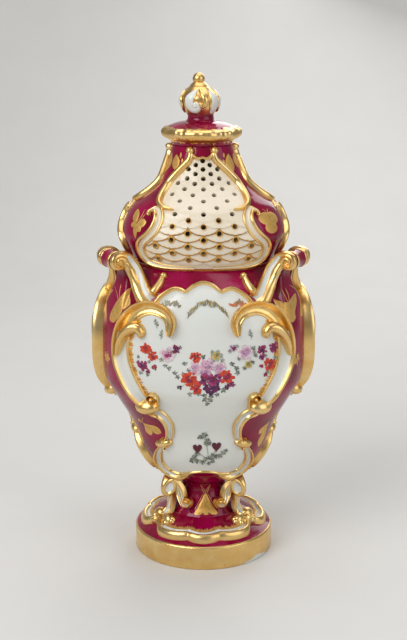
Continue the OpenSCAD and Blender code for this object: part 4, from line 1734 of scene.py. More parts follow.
    def _fly(self, brush: Brush, patch: Patch, size: float) -> None:
        """Gilt fly from above, with four wings and two feelers.

        Args:
            brush: Brush to lay it with.
            patch: Sheet on the claret.
            size: Size over the usual one.
        """
        for heading, length in ((52, 5.4), (128, 5.4), (8, 4.2), (172, 4.2)):
            brush.leaf(patch, 0, 0.3 * size, length * size, 2.7 * size, heading, (0.8, 0.76, 0.64),
                       PAINTS.gilt_full, 1.0, 1.2)
        brush.leaf(patch, 0, 2.2 * size, 6.2 * size, 2.1 * size, -90, PAINTS.gilt_full, PAINTS.gilt_shade,
                   1.0)
        for side in (-1, 1):
            brush.stroke(patch, np.array(((side * 0.3, 2.0), (side * 0.9, 4.2), (side * 2.4, 6.2))) * size,
                         0.4, PAINTS.gilt_full, 1.0)


@dataclass
class PanelPainting:
    """Flowers of one white panel: a middle bunch, sprigs at the sides, a swag above and a sprig below."""

    seed: int

    def build(self) -> Draft:
        """Paints the panel.

        Returns:
            The painting.
        """
        brush = Brush(self.seed)
        self._middle_bunch(brush)
        self._side_sprigs(brush)
        self._loose_roses(brush)
        self._swag(brush)
        self._foot_sprig(brush)
        return brush.draft

    def _leaves(self, brush: Brush, patch: Patch, places: Iterable[tuple[float, float]], size: float) -> None:
        """Scatters clusters of grey-green leaves.

        Args:
            brush: Brush to lay them with.
            patch: Sheet on the panel.
            places: Middles of the clusters.
            size: Length of a leaf.
        """
        for x, y in places:
            brush.ivy(patch, x, y, size * brush.rng.uniform(0.85, 1.15),
                      (PAINTS.sage, PAINTS.moss, PAINTS.slate))

    def _middle_bunch(self, brush: Brush) -> None:
        """Bunch of orange, crimson and lilac flowers over grey leaves.

        Args:
            brush: Brush that lays the paint.
        """
        p, patch = PAINTS, Patch(BODY, 1.5, 0.575)
        for line in (((1, -8), (0.4, -13), (1.4, -18)), ((-6, -8), (-9, -11), (-10.6, -13)),
                     ((5, -8), (7, -11), (8.6, -13)), ((10, -3), (13, -5), (15.6, -5.8)),
                     ((-12, -4), (-14.4, -6), (-16, -6.8))):
            brush.stroke(patch, line, 0.35, p.stalk)
        self._leaves(brush, patch, ((-9.8, -10.8), (-4.4, -10.6), (-1.2, -11.6), (3.2, -12.2), (6.9, -11.2),
                                    (-0.6, -14.6), (2.8, -15.0), (1.0, -17.8), (10.4, -8.2)), 2.2)
        self._leaves(brush, patch, ((-23.6, 6.8), (-21.4, 5.4), (-18.2, 2.4), (-16.6, 0.2), (17.8, 5.4),
                                    (18.4, 2.6), (15.0, 8.2), (-12.4, 8.4), (-10.2, 4.4), (9.6, 10.6),
                                    (-1.6, 12.6), (-13.4, 2.0)), 1.8)
        lilac, fire = (p.mauve, p.pink, p.blush), (p.crimson, p.scarlet, p.orange, p.orange)
        wine, night = (p.plum, p.crimson, p.purple, p.rose), (p.plum, p.purple, p.plum)
        for x, y, spread, tints in (
                (-6.4, 5.4, 4.4, lilac), (7.6, 5.8, 4.2, lilac), (0.6, 7.2, 4.8, lilac),
                (-0.4, 2.2, 3.4, (p.rose, p.mauve, p.pink)), (-6.0, -6.4, 4.2, fire), (-9.8, -1.0, 4.6, fire),
                (12.2, 0.2, 4.2, fire), (3.4, -6.8, 4.6, night), (-1.0, -1.6, 3.6, wine),
                (5.2, -1.4, 4.0, wine), (-6.2, 12.6, 3.4, fire),
                (5.8, 13.4, 3.6, (p.olive, p.yellow, p.sage)), (12.8, -6.0, 1.9, night),
                (15.4, -4.6, 1.8, wine), (-15.8, -6.6, 1.5, (p.slate, p.plum))):
            brush.posy(patch, x, y, spread, tints)

    def _side_sprigs(self, brush: Brush) -> None:
        """Sprigs beside the scrolls: orange over purple on the left, purple over orange on the right.

        Args:
            brush: Brush that lays the paint.
        """
        p = PAINTS
        fire, night = (p.crimson, p.scarlet, p.orange, p.orange), (p.plum, p.purple, p.crimson, p.rose)
        left = Patch(BODY, -32.5, 0.645)
        self._leaves(brush, left, ((-5.4, 1.0), (0.4, -9.4), (-4.2, -8.6), (1.4, -1.4)), 1.5)
        right = Patch(BODY, 36.4, 0.65)
        self._leaves(brush, right, ((-8.6, 4.2), (-7.4, 2.0), (-1.0, 1.2), (5.6, -1.0), (0.8, -9.0)), 1.6)
        for patch, x, y, spread, tints in (
                (left, -0.8, 6.4, 3.4, fire), (left, 3.8, 2.2, 3.0, fire), (left, -2.6, -4.2, 3.2, night),
                (left, -5.6, -2.4, 1.3, night), (left, 0.6, -7.4, 1.4, night),
                (left, 4.8, -4.6, 1.7, (p.scarlet, p.crimson)), (right, -3.2, 5.0, 3.0, night),
                (right, 4.8, 5.6, 3.3, night), (right, -3.4, 0.6, 2.0, night), (right, 2.0, -4.2, 3.9, fire),
                (right, -3.6, -5.0, 1.3, (p.scarlet, p.crimson)),
                (right, -0.6, -10.6, 1.4, (p.scarlet, p.crimson))):
            brush.posy(patch, x, y, spread, tints)

    def _loose_roses(self, brush: Brush) -> None:
        """Pale roses and small buds between the bunches.

        Args:
            brush: Brush that lays the paint.
        """
        p = PAINTS
        for angle, share, spread, tints in (
                (-20.7, 0.672, 4.4, (p.rose, p.pink, p.blush)),
                (24.4, 0.679, 4.4, (p.mauve, p.pink, p.blush)),
                (-16, 0.695, 2.5, (p.plum, p.purple, p.crimson)),
                (17.4, 0.7, 2.2, (p.crimson, p.purple, p.mauve)), (25.8, 0.627, 2.4, (p.olive, p.yellow))):
            patch = Patch(BODY, angle, share)
            self._leaves(brush, patch, ((-0.9 * spread, -0.8 * spread), (spread, 0.5 * spread)), 1.6)
            brush.posy(patch, 0, 0, spread, tints)
        for angle, share in ((-24.5, 0.735), (-27.0, 0.78), (27.6, 0.735)):
            brush.spray(Patch(BODY, angle, share), 0, 0, 100, 4.5, 5, (p.sage, p.moss), 1.6)

    def _swag(self, brush: Brush) -> None:
        """Brown and gold festoon with tassels under the crest, and an olive tuft at each side.

        Args:
            brush: Brush that lays the paint.
        """
        p = PAINTS
        for k in range(29):
            t = k / 14 - 1
            patch = Patch(BODY, 2.5 + 11.8 * t, 0.895 - 0.046 * t * t - 0.006 * abs(math.sin(7 * t)))
            drop = 1.4 + 1.5 * abs(math.sin(3.3 * t + 1.2)) + brush.rng.uniform(0, 0.5)
            brush.stroke(patch, ((0, 0.7), (brush.rng.uniform(-0.4, 0.4), -0.5 * drop), (0.5 * t, -drop)),
                         0.5, brush.rng.choice((p.olive, p.yellow, p.umber, p.moss)))
            brush.leaf(patch, 0, 0, 1.2, 0.7, brush.rng.uniform(0, 360), p.umber, p.yellow)
        for angle, tints in ((-20.6, (p.olive, p.moss, p.umber)), (22.4, (p.coral, p.olive, p.umber))):
            patch = Patch(BODY, angle, 0.878)
            for k in range(16):
                x = (k / 15 - 0.5) * 9
                brush.leaf(patch, x, brush.rng.uniform(-1.2, 0.9) - 0.05 * x * x, 2.6, 1.3,
                           brush.rng.uniform(30, 150), brush.rng.choice(tints), brush.rng.choice(tints))

    def _foot_sprig(self, brush: Brush) -> None:
        """Grey sprig with two dark red hearts over the foot.

        Args:
            brush: Brush that lays the paint.
        """
        p, patch = PAINTS, Patch(BODY, 3.6, 0.215)
        for line in (((0.4, -8), (0, -1), (-2.4, 9)), ((-0.6, -7), (-4, -4), (-6.2, -1)),
                     ((1, -7), (4, -3), (5.4, 0)), ((0, -8), (-4, -8.4), (-8, -7)),
                     ((1, -8), (6, -6), (10.4, -2.6))):
            brush.stroke(patch, line, 0.3, p.stalk)
        self._leaves(brush, patch, (
            (-3.2, 9.8), (-1.6, 10.8), (-4.4, 9.0), (0.2, 6.2), (-0.8, 4.4), (1.2, 4.4), (-8.8, -7.4),
            (-7.0, -8.8), (-10.2, -8.4), (-8.6, -5.8), (-3.2, -9.8), (-1.0, -7.2), (1.8, -6.2), (3.4, -9.2),
            (3.4, -4.8), (6.0, -5.6), (8.0, -5.0), (9.6, -3.2), (11.0, -1.6), (1.4, -10.8), (-6.8, -3.6)),
            2.0)
        turn = round_turns(24)
        heart = 13 * np.cos(turn) - 5 * np.cos(2 * turn) - 2 * np.cos(3 * turn) - np.cos(4 * turn)
        shape = np.stack([2.9 * np.sin(turn) ** 3, 0.225 * heart], axis=-1)
        for x, y in ((-6.2, 0.4), (5.4, 1.8)):
            brush.skin(patch, shape * [1, 1.12] + [x, y], p.blood, p.blood, heart=(x, y + 0.4))


class Draped(Ground):
    """Pieces seen along one direction, where degrees and shares stand for millimetres across and up."""

    # How far off the rays start, and the step that finds a direction, in millimetres.
    RAY_START = 60
    PROBE = 0.7

    def __init__(self, drafts: Iterable[Draft], middle: Sequence[float], across: Sequence[float],
                 up: Sequence[float]) -> None:
        """Takes the forms that the sheet falls on.

        Args:
            drafts: Forms to fall on.
            middle: Point that the sheet is centred over.
            across: Direction to the right on the sheet.
            up: Direction up on the sheet.
        """
        forms = [(np.vstack(d.points), d.faces) for d in drafts]
        starts = np.cumsum([0, *(len(p) for p, _ in forms)])
        faces = [tuple(i + s for i in f) for (_, fs), s in zip(forms, starts) for f in fs]
        points = np.vstack([p for p, _ in forms])
        self.__dict__.update(tree=BVHTree.FromPolygons(points.tolist(), faces), middle=np.array(middle),
                             across=unit(np.array(across, float)), up=unit(np.array(up, float)))

    def spot(self, angle: Array, share: Array) -> Array:
        """Points where the sheet meets the forms, in millimetres.

        Args:
            angle: Millimetres across the sheet.
            share: Millimetres up the sheet.

        Returns:
            The points.
        """
        angle, share = matched(angle, share)
        flat = self.middle + angle[..., None] * self.across + share[..., None] * self.up
        toward = np.cross(self.up, self.across)
        found = []
        for point in flat.reshape(-1, 3):
            hit = self.tree.ray_cast((point - self.RAY_START * toward).tolist(), toward.tolist())[0]
            found.append(point if hit is None else hit)
        return np.array(found).reshape(flat.shape)

    def normal(self, angle: Array, share: Array) -> Array:
        """Directions off the forms.

        Args:
            angle: Millimetres across the sheet.
            share: Millimetres up the sheet.

        Returns:
            Unit vectors.
        """
        angle, share = np.asarray(angle, float), np.asarray(share, float)
        wide = self.spot(angle + self.PROBE, share) - self.spot(angle - self.PROBE, share)
        tall = self.spot(angle, share + self.PROBE) - self.spot(angle, share - self.PROBE)
        return unit(np.cross(wide, tall))

    def scales(self, angle: float, share: float) -> tuple[float, float]:
        """One millimetre to each unit."""
        return 1.0, 1.0


@dataclass
class Handle:
    """Handle on a corner: claret web, claret roll and a scroll bracket at each end of the roll."""

    finishes: Finishes
    shell: Draft
    roll_r: float = 5.4
    roll_l: float = 13.5
    roll_z: float = 196.6
    reach: float = 63.2
    boss_r: float = 5.5
    boss_t: float = 3.8
    columns: int = 40

    def build(self) -> None:
        """Builds the three handles and the butterflies on their flanks."""
        ear = self._ear()
        parts = ((ear, "handle_ear", Slot.CLARET), (self._roll(), "handle_roll", Slot.CLARET),
                 (self._brackets(), "handle_brackets", Slot.GILDING))
        for corner in Corner:
            gold = self._butterflies(ear, corner)
            for draft, name, slot in parts:
                draft.make_moulding(corner, name, self.finishes.porcelain, Carrier.VASE, slot)
            gold.make_brushwork(corner, "gilt_butterflies", self.finishes.leaf, Carrier.VASE, Slot.GILDING)

    def _ear(self) -> Draft:
        """Web that carries the shoulder's corner up to the roll.

        Returns:
            The form as a draft.
        """
        # Height, outer face, its half width, back face and its half width.
        rows = smooth_line((
            (146, 66.0, 9.0, 56, 13.0), (157, 65.8, 11.5, 52, 18.0), (165, 65.3, 12.0, 49, 20.0),
            (172, 63.2, 10.8, 46, 17.0), (180, 59.4, 8.6, 46, 12.0), (187, 58.0, 6.8, 49, 8.2),
            (192, 59.4, 6.0, 53.5, 6.4), (196.6, 62.4, 5.6, 58.4, 5.6)), 5)
        corner = np.linspace(-38, 38, 153)
        rings = []
        for z, out, half, back, back_half in rows:
            wall = turned(BODY.spot(60 + corner, np.full_like(corner, (z - BODY.foot) / BODY.height)), -60)
            free = float(ramp(np.array(z), 150, 176))
            across = half * np.array([-1.0, -0.94, -0.72, -0.4, 0.0, 0.4, 0.72, 0.94, 1.0])
            sink = 1.6 * (1 - float(ramp(np.array(z), 146, 158)))
            on_wall = np.interp(across, wall[:, 0], -wall[:, 1]) - sink
            face = on_wall * (1 - free) + (out - 0.008 * across ** 2) * free
            face = face - np.array([2.2, 0.7, 0, 0, 0, 0, 0, 0.7, 2.2]) * (0.4 + 0.6 * free)
            mid = (0.5 * (half + back_half) - 0.6, 0.5 * (face[0] + back))
            ring = [(-back_half, back), (-mid[0], mid[1]), *zip(across, face), mid, (back_half, back)]
            path = smooth_line(ring, 4)
            rings.append(np.stack([path[:, 0], -path[:, 1], np.full(len(path), z)], axis=-1))
        draft = Draft()
        draft.add_grid(np.array(rings), claret=1.0)
        return draft

    def _butterflies(self, ear: Draft, corner: Corner) -> Draft:
        """Gilt butterflies on the two flanks of a web, with a fine line beside each bracket.

        Args:
            ear: The web, in the frame of its corner.
            corner: Corner that the web stands on. The flank turned from the front panel is painted closer in.

        Returns:
            The brushwork in the frame of the corner.
        """
        wall = Draft()
        wall.join(self.shell, 60)
        flank = Draped((ear, wall), (25.0, -72.1, 174.7), (0.5, 0.866, 0.0), (-0.214, 0.1235, 0.969))
        first, second = Brush(71), Brush(72)
        sheet = Patch(flank, 3.4 if corner is Corner.RIGHT else 0.0, 0.0)
        wing = ((6.9, 11.1), (5.7, 6.8), (6.5, 3.0), (5.8, -0.1), (2.3, -2.6), (-1.2, -7.6), (-4.4, -10.7),
                (-7.2, -9.0), (-6.7, -5.2), (-4.8, -1.3), (-2.2, 2.8), (1.2, 6.8), (4.0, 9.5))
        self._wing(first, sheet, wing, (0.5, 0.5), (((5.8, 9.0), (1.5, 2.0), (-4.6, -8.4)),
                                                    ((5.0, 4.6), (0.6, 0.2), (-5.4, -6.6))))
        for line in (((-1.4, 3.4), (-2.2, 7.0), (-4.0, 11.6)), ((-0.4, 4.4), (-0.6, 8.2), (0.2, 12.8))):
            first.stroke(sheet, line, 0.45, PAINTS.gilt_full, 1.0)
        sheet = Patch(flank, 6.2 if corner is Corner.LEFT else 0.6, -1.3)
        wing = ((8.2, 5.3), (2.9, 3.7), (-1.4, 3.4), (-4.0, 6.4), (-6.7, 9.1), (-7.4, 3.4), (-6.1, -2.4),
                (-6.5, -6.7), (-4.0, -9.3), (-0.5, -6.2), (2.9, -2.4), (6.7, 1.9))
        self._wing(second, sheet, wing, (-2.2, 0.0), (((-1.8, 2.6), (-3.4, -2.0), (-4.6, -7.6)),
                                                      ((-1.0, 2.2), (2.6, 1.6), (6.4, 3.6))))
        for line in (((-1.2, 3.6), (1.0, 8.0), (2.6, 11.4)), ((-2.2, 4.0), (-1.6, 8.0), (0.2, 12.0))):
            second.stroke(sheet, line, 0.45, PAINTS.gilt_full, 1.0)
        for brush in (first, second):
            brush.stroke(Patch(flank, 0, 0), ((3.8, 19.6), (5.8, 15.6), (7.3, 9.8), (10.4, 1.6)), 0.8,
                         (1, 0.94, 0.86), 1.0, (0.9, 0.7))
        gold = Draft()
        gold.join(first.draft)
        gold.join(second.draft, mirror=True)
        return gold

    def _wing(self, brush: Brush, sheet: Patch, edge: Sequence[Sequence[float]], heart: Sequence[float],
              veins: Sequence[Sequence[Sequence[float]]]) -> None:
        """Flat gold wing with chased veins.

        Args:
            brush: Brush to lay it with.
            sheet: Sheet on the flank.
            edge: Outline of the wing.
            heart: Middle of the wing.
            veins: Lines of the veins.
        """
        ring = smooth_line([*edge, edge[0]], 3)[:-1]
        brush.skin(sheet, ring, (0.9, 0.88, 0.8), PAINTS.gilt_full, 1.0, heart, 7)
        for line in veins:
            brush.stroke(sheet, line, 0.4, PAINTS.gilt_shade, 1.0)

    def _along_roll(self, profile: Sequence[Sequence[float]]) -> Draft:
        """Turns a profile about the roll's axis.

        Args:
            profile: Rows of radius, place along the roll, gold and claret.

        Returns:
            The turned form in its place.
        """
        flat = lathe(profile, self.columns)
        points = flat.points[0]
        flat.points[0] = np.stack([points[:, 2], points[:, 1] - self.reach, points[:, 0] + self.roll_z],
                                  axis=-1)
        return flat

    def _roll(self) -> Draft:
        """Claret roll with a fine gilt ring near each end.

        Returns:
            The form as a draft.
        """
        r, half = self.roll_r, self.roll_l / 2
        left = [(0.05, -half, 0, 1), (r - 0.2, -half, 0, 1), (r - 0.2, -half + 0.6, 0, 1),
                (r, -half + 0.7, 0.4, 1), (r + 0.3, -half + 0.9, 1, 1), (r + 0.4, -half + 1.7, 1, 1),
                (r + 0.3, -half + 2.5, 1, 1), (r, -half + 2.7, 0.1, 1), (r - 0.15, -half + 3.6, 0, 1)]
        right = [(a, -b, c, d) for a, b, c, d in left[::-1]]
        return self._along_roll([*left, (r - 0.25, 0, 0, 1), *right])

    def _brackets(self) -> Draft:
        """Two scroll straps from the shoulder to the ends of the roll.

        Returns:
            The form as a draft.
        """
        half, r = self.roll_l / 2, self.boss_r
        end = half + self.boss_t
        boss = [(0.05, half, 1, 0), (r - 1.3, half, 1, 0), (r - 1.3, half + 0.5, 1, 0),
                (r - 0.3, half + 0.6, 1, 0), (r, half + 1.0, 1, 0), (r, end - 1.0, 1, 0),
                (r - 0.3, end - 0.4, 1, 0), (r - 1.0, end, 1, 0), (0.05, end + 0.3, 1, 0)]
        draft = self._along_roll(boss)
        run = [(25.4, -45.4, 171.0, 10.6), (24.8, -49.0, 173.4, 11.0), (23.3, -52.3, 176.0, 11.2),
               (20.2, -53.3, 179.6, 10.8), (17.6, -53.3, 182.7, 10.4), (15.4, -53.6, 185.7, 10.0),
               (13.5, -54.2, 188.9, 9.6), (12.0, -55.2, 192.2, 9.0)]
        for turn, far, wide in ((-6, 6.2, 8.2), (22, 5.0, 7.4), (58, 4.0, 6.2), (98, 3.4, 5.0),
                                (140, 3.0, 4.2), (190, 2.7, 3.4), (240, 2.3, 2.8), (290, 1.7, 2.2)):
            c, s = cos_sin(turn)
            run.append((end - 0.9, -self.reach + far * c, self.roll_z + far * s, wide))
        rows = smooth_line(run, 6)
        centre, width = rows[:, :3], rows[:, 3]
        t = np.arange(len(rows)) / len(rows)
        outward = ramp(t, 0.2, 0.55)[:, None]
        facing = np.array([0.62, -0.72, 0.3]) * (1 - outward) + np.array([1.0, -0.1, 0.0]) * outward
        heading = unit(np.gradient(centre, axis=0))
        facing = unit(facing - heading * np.sum(facing * heading, axis=-1, keepdims=True))
        side = np.cross(heading, facing)
        draft.join(sweep(centre, side, facing, width, np.full(len(rows), 2.8), STRAP, ramp(t, 0.56, 0.64)))
        # Rows of the strap, from the shoulder on, that have a rounded back.
        backed = 46
        strap = slice(0, backed)
        draft.join(sweep(centre[strap] - facing[strap] * 2.4, side[strap], facing[strap], width[strap] * 0.94,
                         np.full(backed, 2.9), CORD))
        return draft.both_sides()


# Mouldings of a cover panel, in the same way.
RIB_LINE = ((-21.2, 0.968, 3.2, 2.8), (-20.4, 0.93, 4.0, 3.0), (-23.0, 0.89, 4.4, 3.0),
            (-29.5, 0.852, 4.6, 3.0), (-39, 0.79, 4.6, 3.0), (-46.6, 0.714, 4.6, 3.0),
            (-46.2, 0.635, 4.4, 3.0), (-43.0, 0.575, 4.2, 3.0), (-39.0, 0.542, 3.8, 2.8),
            (-33.5, 0.523, 3.0, 2.6), (-28.5, 0.515, 2.0, 2.2), (-25.0, 0.512, 1.0, 1.6))
CURL_LINE = ((-44.0, 0.492, 3.0, 1.9), (-39.0, 0.508, 5.4, 2.6), (-35.0, 0.47, 6.4, 2.9),
             (-34.0, 0.414, 6.6, 2.9), (-36.0, 0.344, 6.6, 2.9), (-40.0, 0.29, 6.6, 2.9),
             (-45, 0.24, 6.6, 2.9), (-47.4, 0.18, 6.4, 2.8), (-46.8, 0.11, 5.6, 2.6),
             (-43.0, 0.068, 4.4, 2.3), (-35, 0.046, 2.8, 1.9), (-24, 0.036, 1.9, 1.4), (-8, 0.032, 1.6, 1.2))


@dataclass
class Cover:
    """Domed cover: pierced scale panels in gold frames, claret corners, collar and bud finial."""

    finishes: Finishes
    wall: float = 4.0
    hole_d: float = 3.0
    hole_rows: int = 18
    hole_step: float = 23.0
    flange_r: float = 32.4
    collar_r: float = 24.4
    columns: int = 432
    rows: int = 120
    scale_rows: int = 6
    scale_relief: float = 0.85
    ringed_to: float = 0.47
    # Scale lines run from pale gold in the lowest row to a darker tint in the upper rows; the darker tint is
    # partly the gilding's own tone and partly painted reflection of dark surroundings in the gold.
    line_pale: Tint = (0.95, 0.82, 0.58)
    line_dark_painted_reflection: Tint = (0.55, 0.45, 0.28)
    half_width: Outline = Outline((
        (0.03, 32), (0.1, 45), (0.2, 45), (0.3, 37), (0.42, 31), (0.5, 34), (0.56, 39), (0.66, 46),
        (0.73, 45), (0.8, 36), (0.87, 27), (0.97, 26)))

    def build(self) -> None:
        """Builds the shell, its frames, its gold work, the collar and the finial."""
        self._shell()
        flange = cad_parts["cover_flange"]
        flange.data.materials.clear()
        flange.data.materials.append(self.finishes.porcelain)
        rib = GroundLine(COVER, RIB_LINE).relief_draft(CORD)
        rib.join(GroundLine(COVER, ((-19.5, 0.952, 2.6, 2.4), (-14, 0.925, 2.4, 2.2), (-7, 0.908, 2.0, 2.0),
                                    (0, 0.918, 1.8, 1.8))).relief_draft(CORD))
        rib.join(bead(COVER, -21.2, 0.97, 2.5, 4.0))
        ribs = rib.both_sides()
        curls = GroundLine(COVER, CURL_LINE, start=Volute(1.7, 0.6, 1)).relief_draft(SCROLL).both_sides()
        for face in Face:
            for name, part in (("cover_ribs", ribs), ("cover_curls", curls)):
                part.make_moulding(face, name, self.finishes.ivory, Carrier.COVER, Slot.GILDING)
            gold = self._gold_work(face)
            gold.make_brushwork(face, "cover_brushed_gold", self.finishes.leaf, Carrier.COVER, Slot.GILDING)
        self._collar()
        self._finial()

    def row_share(self, row: Array) -> Array:
        """Share of the height of a row of holes."""
        t = np.asarray(row, float) / (self.hole_rows - 1)
        return 0.111 + 0.779 * (1.28 * t - 0.28 * t * t)

    def holes(self) -> list[tuple[float, float]]:
        """Degrees and share of every scent hole of one panel.

        Returns:
            Pairs of degrees and share.
        """
        found = []
        for i in range(self.hole_rows):
            share = float(self.row_share(i))
            for j in range(-2, 3):
                angle = (j + ((i + 1) % 2) / 2) * self.hole_step
                if abs(angle) < float(self.half_width.at(share)) - 5:
                    found.append((angle, share))
        return found

    def _arc(self, row: Array, angle: Array) -> Array:
        """Share of the lower edge of a row of scales.

        Args:
            row: Row number of the scales' holes.
            angle: Degrees from the panel's middle.

        Returns:
            The edge, which hangs from beside its holes to just over the row below.
        """
        row = np.asarray(row, float)
        shift = np.where(row % 2 == 0, 0.5, 0.0)
        s = 2 * ((angle / self.hole_step - shift + 0.5) % 1 - 0.5)
        low, high = self.row_share(row - 1.3), self.row_share(row - 0.02)
        return low + (high - low) * (1 - np.sqrt(np.clip(1 - s * s, 0, 1)) * 0.9 - 0.1 * (1 - np.abs(s)))

    def _scales(self, angle: Array, share: Array) -> Array:
        """Relief of the scales, which rises to each lower edge and drops under it.

        Args:
            angle: Degrees from the panel's middle.
            share: Shares of the height.

        Returns:
            Heights, in millimetres.
        """
        relief = np.zeros_like(share)
        above = np.full_like(share, 1.0)
        for row in range(self.hole_rows + 2, -2, -1):
            edge = self._arc(np.full_like(share, row), angle)
            here = (share >= edge) & (share < above)
            relief = np.where(here, np.clip((above - share) / np.maximum(above - edge, 1e-4), 0, 1), relief)
            above = np.minimum(above, edge)
        return relief * self.scale_relief * (0.25 + 0.75 * ramp(share, 0.46, 0.38))

    def _panel(self) -> list[tuple[float, float]]:
        """Outline of a pierced panel, in millimetres, under the middle of its frame.

        Returns:
            Points round the outline.
        """
        left = [(0, 0.915), (-8, 0.912), (-16, 0.935), *[(a, v) for a, v, *_ in RIB_LINE[:9]],
                *[(a, v) for a, v, *_ in CURL_LINE[1:]], (-20, 0.035), (0, 0.03)]
        ring = [*left, *[(-a, v) for a, v in left[-2:0:-1]]]
        return [(a * COVER_DEG_MM, v * COVER.height) for a, v in smooth_line([*ring, ring[0]], 4)[:-1]]

    def _shell(self) -> None:
        """Pierced shell with scale panels, claret corners and a gold rim."""
        angle = np.linspace(0, 360, self.columns, endpoint=False)
        share = np.linspace(0, 1, self.rows)
        a, v = np.meshgrid(angle, share)
        local = from_panel(a)
        depth = inside(self._panel(), local * COVER_DEG_MM, v * COVER.height)
        relief = self._scales(local, v) * np.clip((depth - 1.0) / 2.0, 0, 1)
        outer = COVER.lifted(a, v, relief)
        claret = np.clip(0.5 - depth / 6, 0, 1)
        gilt = np.clip(0.5 + (0.022 - v) * COVER.height / 2, 0, 1) * (1 + 0 * a)
        claret[v < 0.03] = 0
        bore = self.flange_r + 0.05
        inner = COVER.inner(angle, np.linspace(0.12, 0.93, 34), self.wall)
        rim = np.array([level_ring(angle, bore, COVER.foot + up) for up in (4, 0.3)])
        grid = np.concatenate([inner[::-1], rim, outer])
        gold, wine = np.zeros(grid.shape[:2]), np.zeros(grid.shape[:2])
        gold[-self.rows:], wine[-self.rows:] = gilt, claret
        draft = Draft()
        draft.add_grid(grid, gilt=gold, claret=wine)
        piece = draft.make("cover_shell_pierced", self.finishes.ivory, Carrier.COVER, Slot.WHITE,
                           ("cover_shell",), sharp=50)
        self._pierce(piece)

    def _pierce(self, piece: bpy.types.Object) -> None:
        """Cuts the scent holes through the shell.

        Args:
            piece: The shell.
        """
        pins = Draft()
        ring = round_turns(20)
        for face in Face:
            for angle, share in self.holes():
                middle, out = COVER.spot(angle, share), COVER.normal(angle, share)
                across = unit(np.cross([0.0, 0.0, 1.0], out))
                up = np.cross(out, across)
                disc = (np.cos(ring)[:, None] * across + np.sin(ring)[:, None] * up) * self.hole_d / 2
                rows = np.stack([middle + disc + out * d for d in (-1.7 * self.wall, 3.0)])
                pins.add_grid(turned(rows, face.value))
        cutter = bpy.data.objects.new("scent_hole_pins", pins.mesh("scent_hole_pins", True, 30))
        bpy.context.scene.collection.objects.link(cutter)
        cut = piece.modifiers.new("scent_holes", "BOOLEAN")
        cut.operation, cut.object, cut.solver = "DIFFERENCE", cutter, "MANIFOLD"
        shaped = bpy.data.meshes.new_from_object(piece.evaluated_get(bpy.context.evaluated_depsgraph_get()))
        piece.modifiers.clear()
        old, piece.data = piece.data, shaped
        bpy.data.meshes.remove(old)
        bpy.data.objects.remove(cutter)
        shaped.shade_smooth()
        shaped.set_sharp_from_angle(angle=math.radians(50))

    def _gold_work(self, face: Face) -> Draft:
        """Gold edges of the scales, rings round the holes, leaves and insects on the claret.

        Args:
            face: Side of the cover.

        Returns:
            The brushwork, in the frame of its side.
        """
        brush = Brush(400 + int(face.value))
        outline = self._panel()
        for row in range(self.scale_rows):
            angle = np.arange(-52, 52.01, 0.75)
            share, over = (self._arc(np.full_like(angle, row + k), angle) for k in (0, 1))
            depth = inside(outline, angle * COVER_DEG_MM, share * COVER.height)
            # Upper rows take more of the darker tint, which is partly the gold's own tone and partly painted
            # reflection.
            strong = row / (self.scale_rows - 1)
            open_above = row == self.scale_rows - 1
            tint = tuple(a * (1 - strong) + b * strong for a, b in zip(self.line_pale, self.line_dark_painted_reflection))
            shown = (depth > 2.0) & ((share < over + 0.004) | open_above)
            marks = np.flatnonzero(np.diff(np.concatenate([[0], shown, [0]])))
            for first, last in zip(marks[::2], marks[1::2]):
                if last - first > 9:
                    brush.trail(COVER, angle[first:last], share[first:last], 0.95 - 0.25 * strong, tint, 1.0,
                                self.scale_relief * np.clip((depth[first:last] - 1) / 2, 0, 1) - 0.08)
        for angle, share in self.holes():
            if share < self.ringed_to:
                self._ring(brush, angle, share, 0.26 + 0.74 * float(ramp(np.array(share), 0.46, 0.25)))
        if face is Face.FRONT:
            self._fly(brush, Patch(COVER, -52.6, 0.375, 8))
            self._moth(brush, Patch(COVER, 53.4, 0.405, -4))
        elif face is Face.RIGHT:
            self._fly(brush, Patch(COVER, 57.0, 0.385, 8))
        for angle, low, high, wide in ((-50.0, 0.80, 0.94, 6.6), (-36.5, 0.86, 0.91, 1.6),
                                       (-41.0, 0.9, 0.955, 1.5), (49.5, 0.77, 0.95, 7.4),
                                       (37.0, 0.84, 0.9, 2.0), (40.5, 0.905, 0.955, 1.5)):
            patch = Patch(COVER, angle, (low + high) / 2, -8 if angle > 0 else 8)
            tall = (high - low) * COVER.height
            brush.leaf(patch, 0, -tall / 2, tall, wide, 90, PAINTS.gilt_full, (0.95, 0.92, 0.84), 1.0, 0.95)
        return brush.draft

    def _fly(self, brush: Brush, patch: Patch) -> None:
        """Gilt fly with spread wings and fine feelers.

        Args:
            brush: Brush to lay it with.
            patch: Sheet on the claret corner.
        """
        for heading, length, wide in ((114, 11.0, 6.0), (10, 8.6, 5.8), (-42, 6.4, 4.4), (176, 5.0, 3.6)):
            brush.leaf(patch, -0.4, -0.2, length, wide, heading, (0.86, 0.83, 0.74), PAINTS.gilt_full, 1.0,
                       1.25)
        brush.leaf(patch, -0.6, 1.8, 11.4, 3.8, -88, PAINTS.gilt_full, (0.8, 0.76, 0.66), 1.0, 0.9)
        for line in (((0.2, 1.6), (2.8, 5.2), (3.2, 9.4)), ((0.6, 1.2), (4.0, 4.2), (6.0, 7.6))):
            brush.stroke(patch, line, 0.45, PAINTS.gilt_full, 1.0)

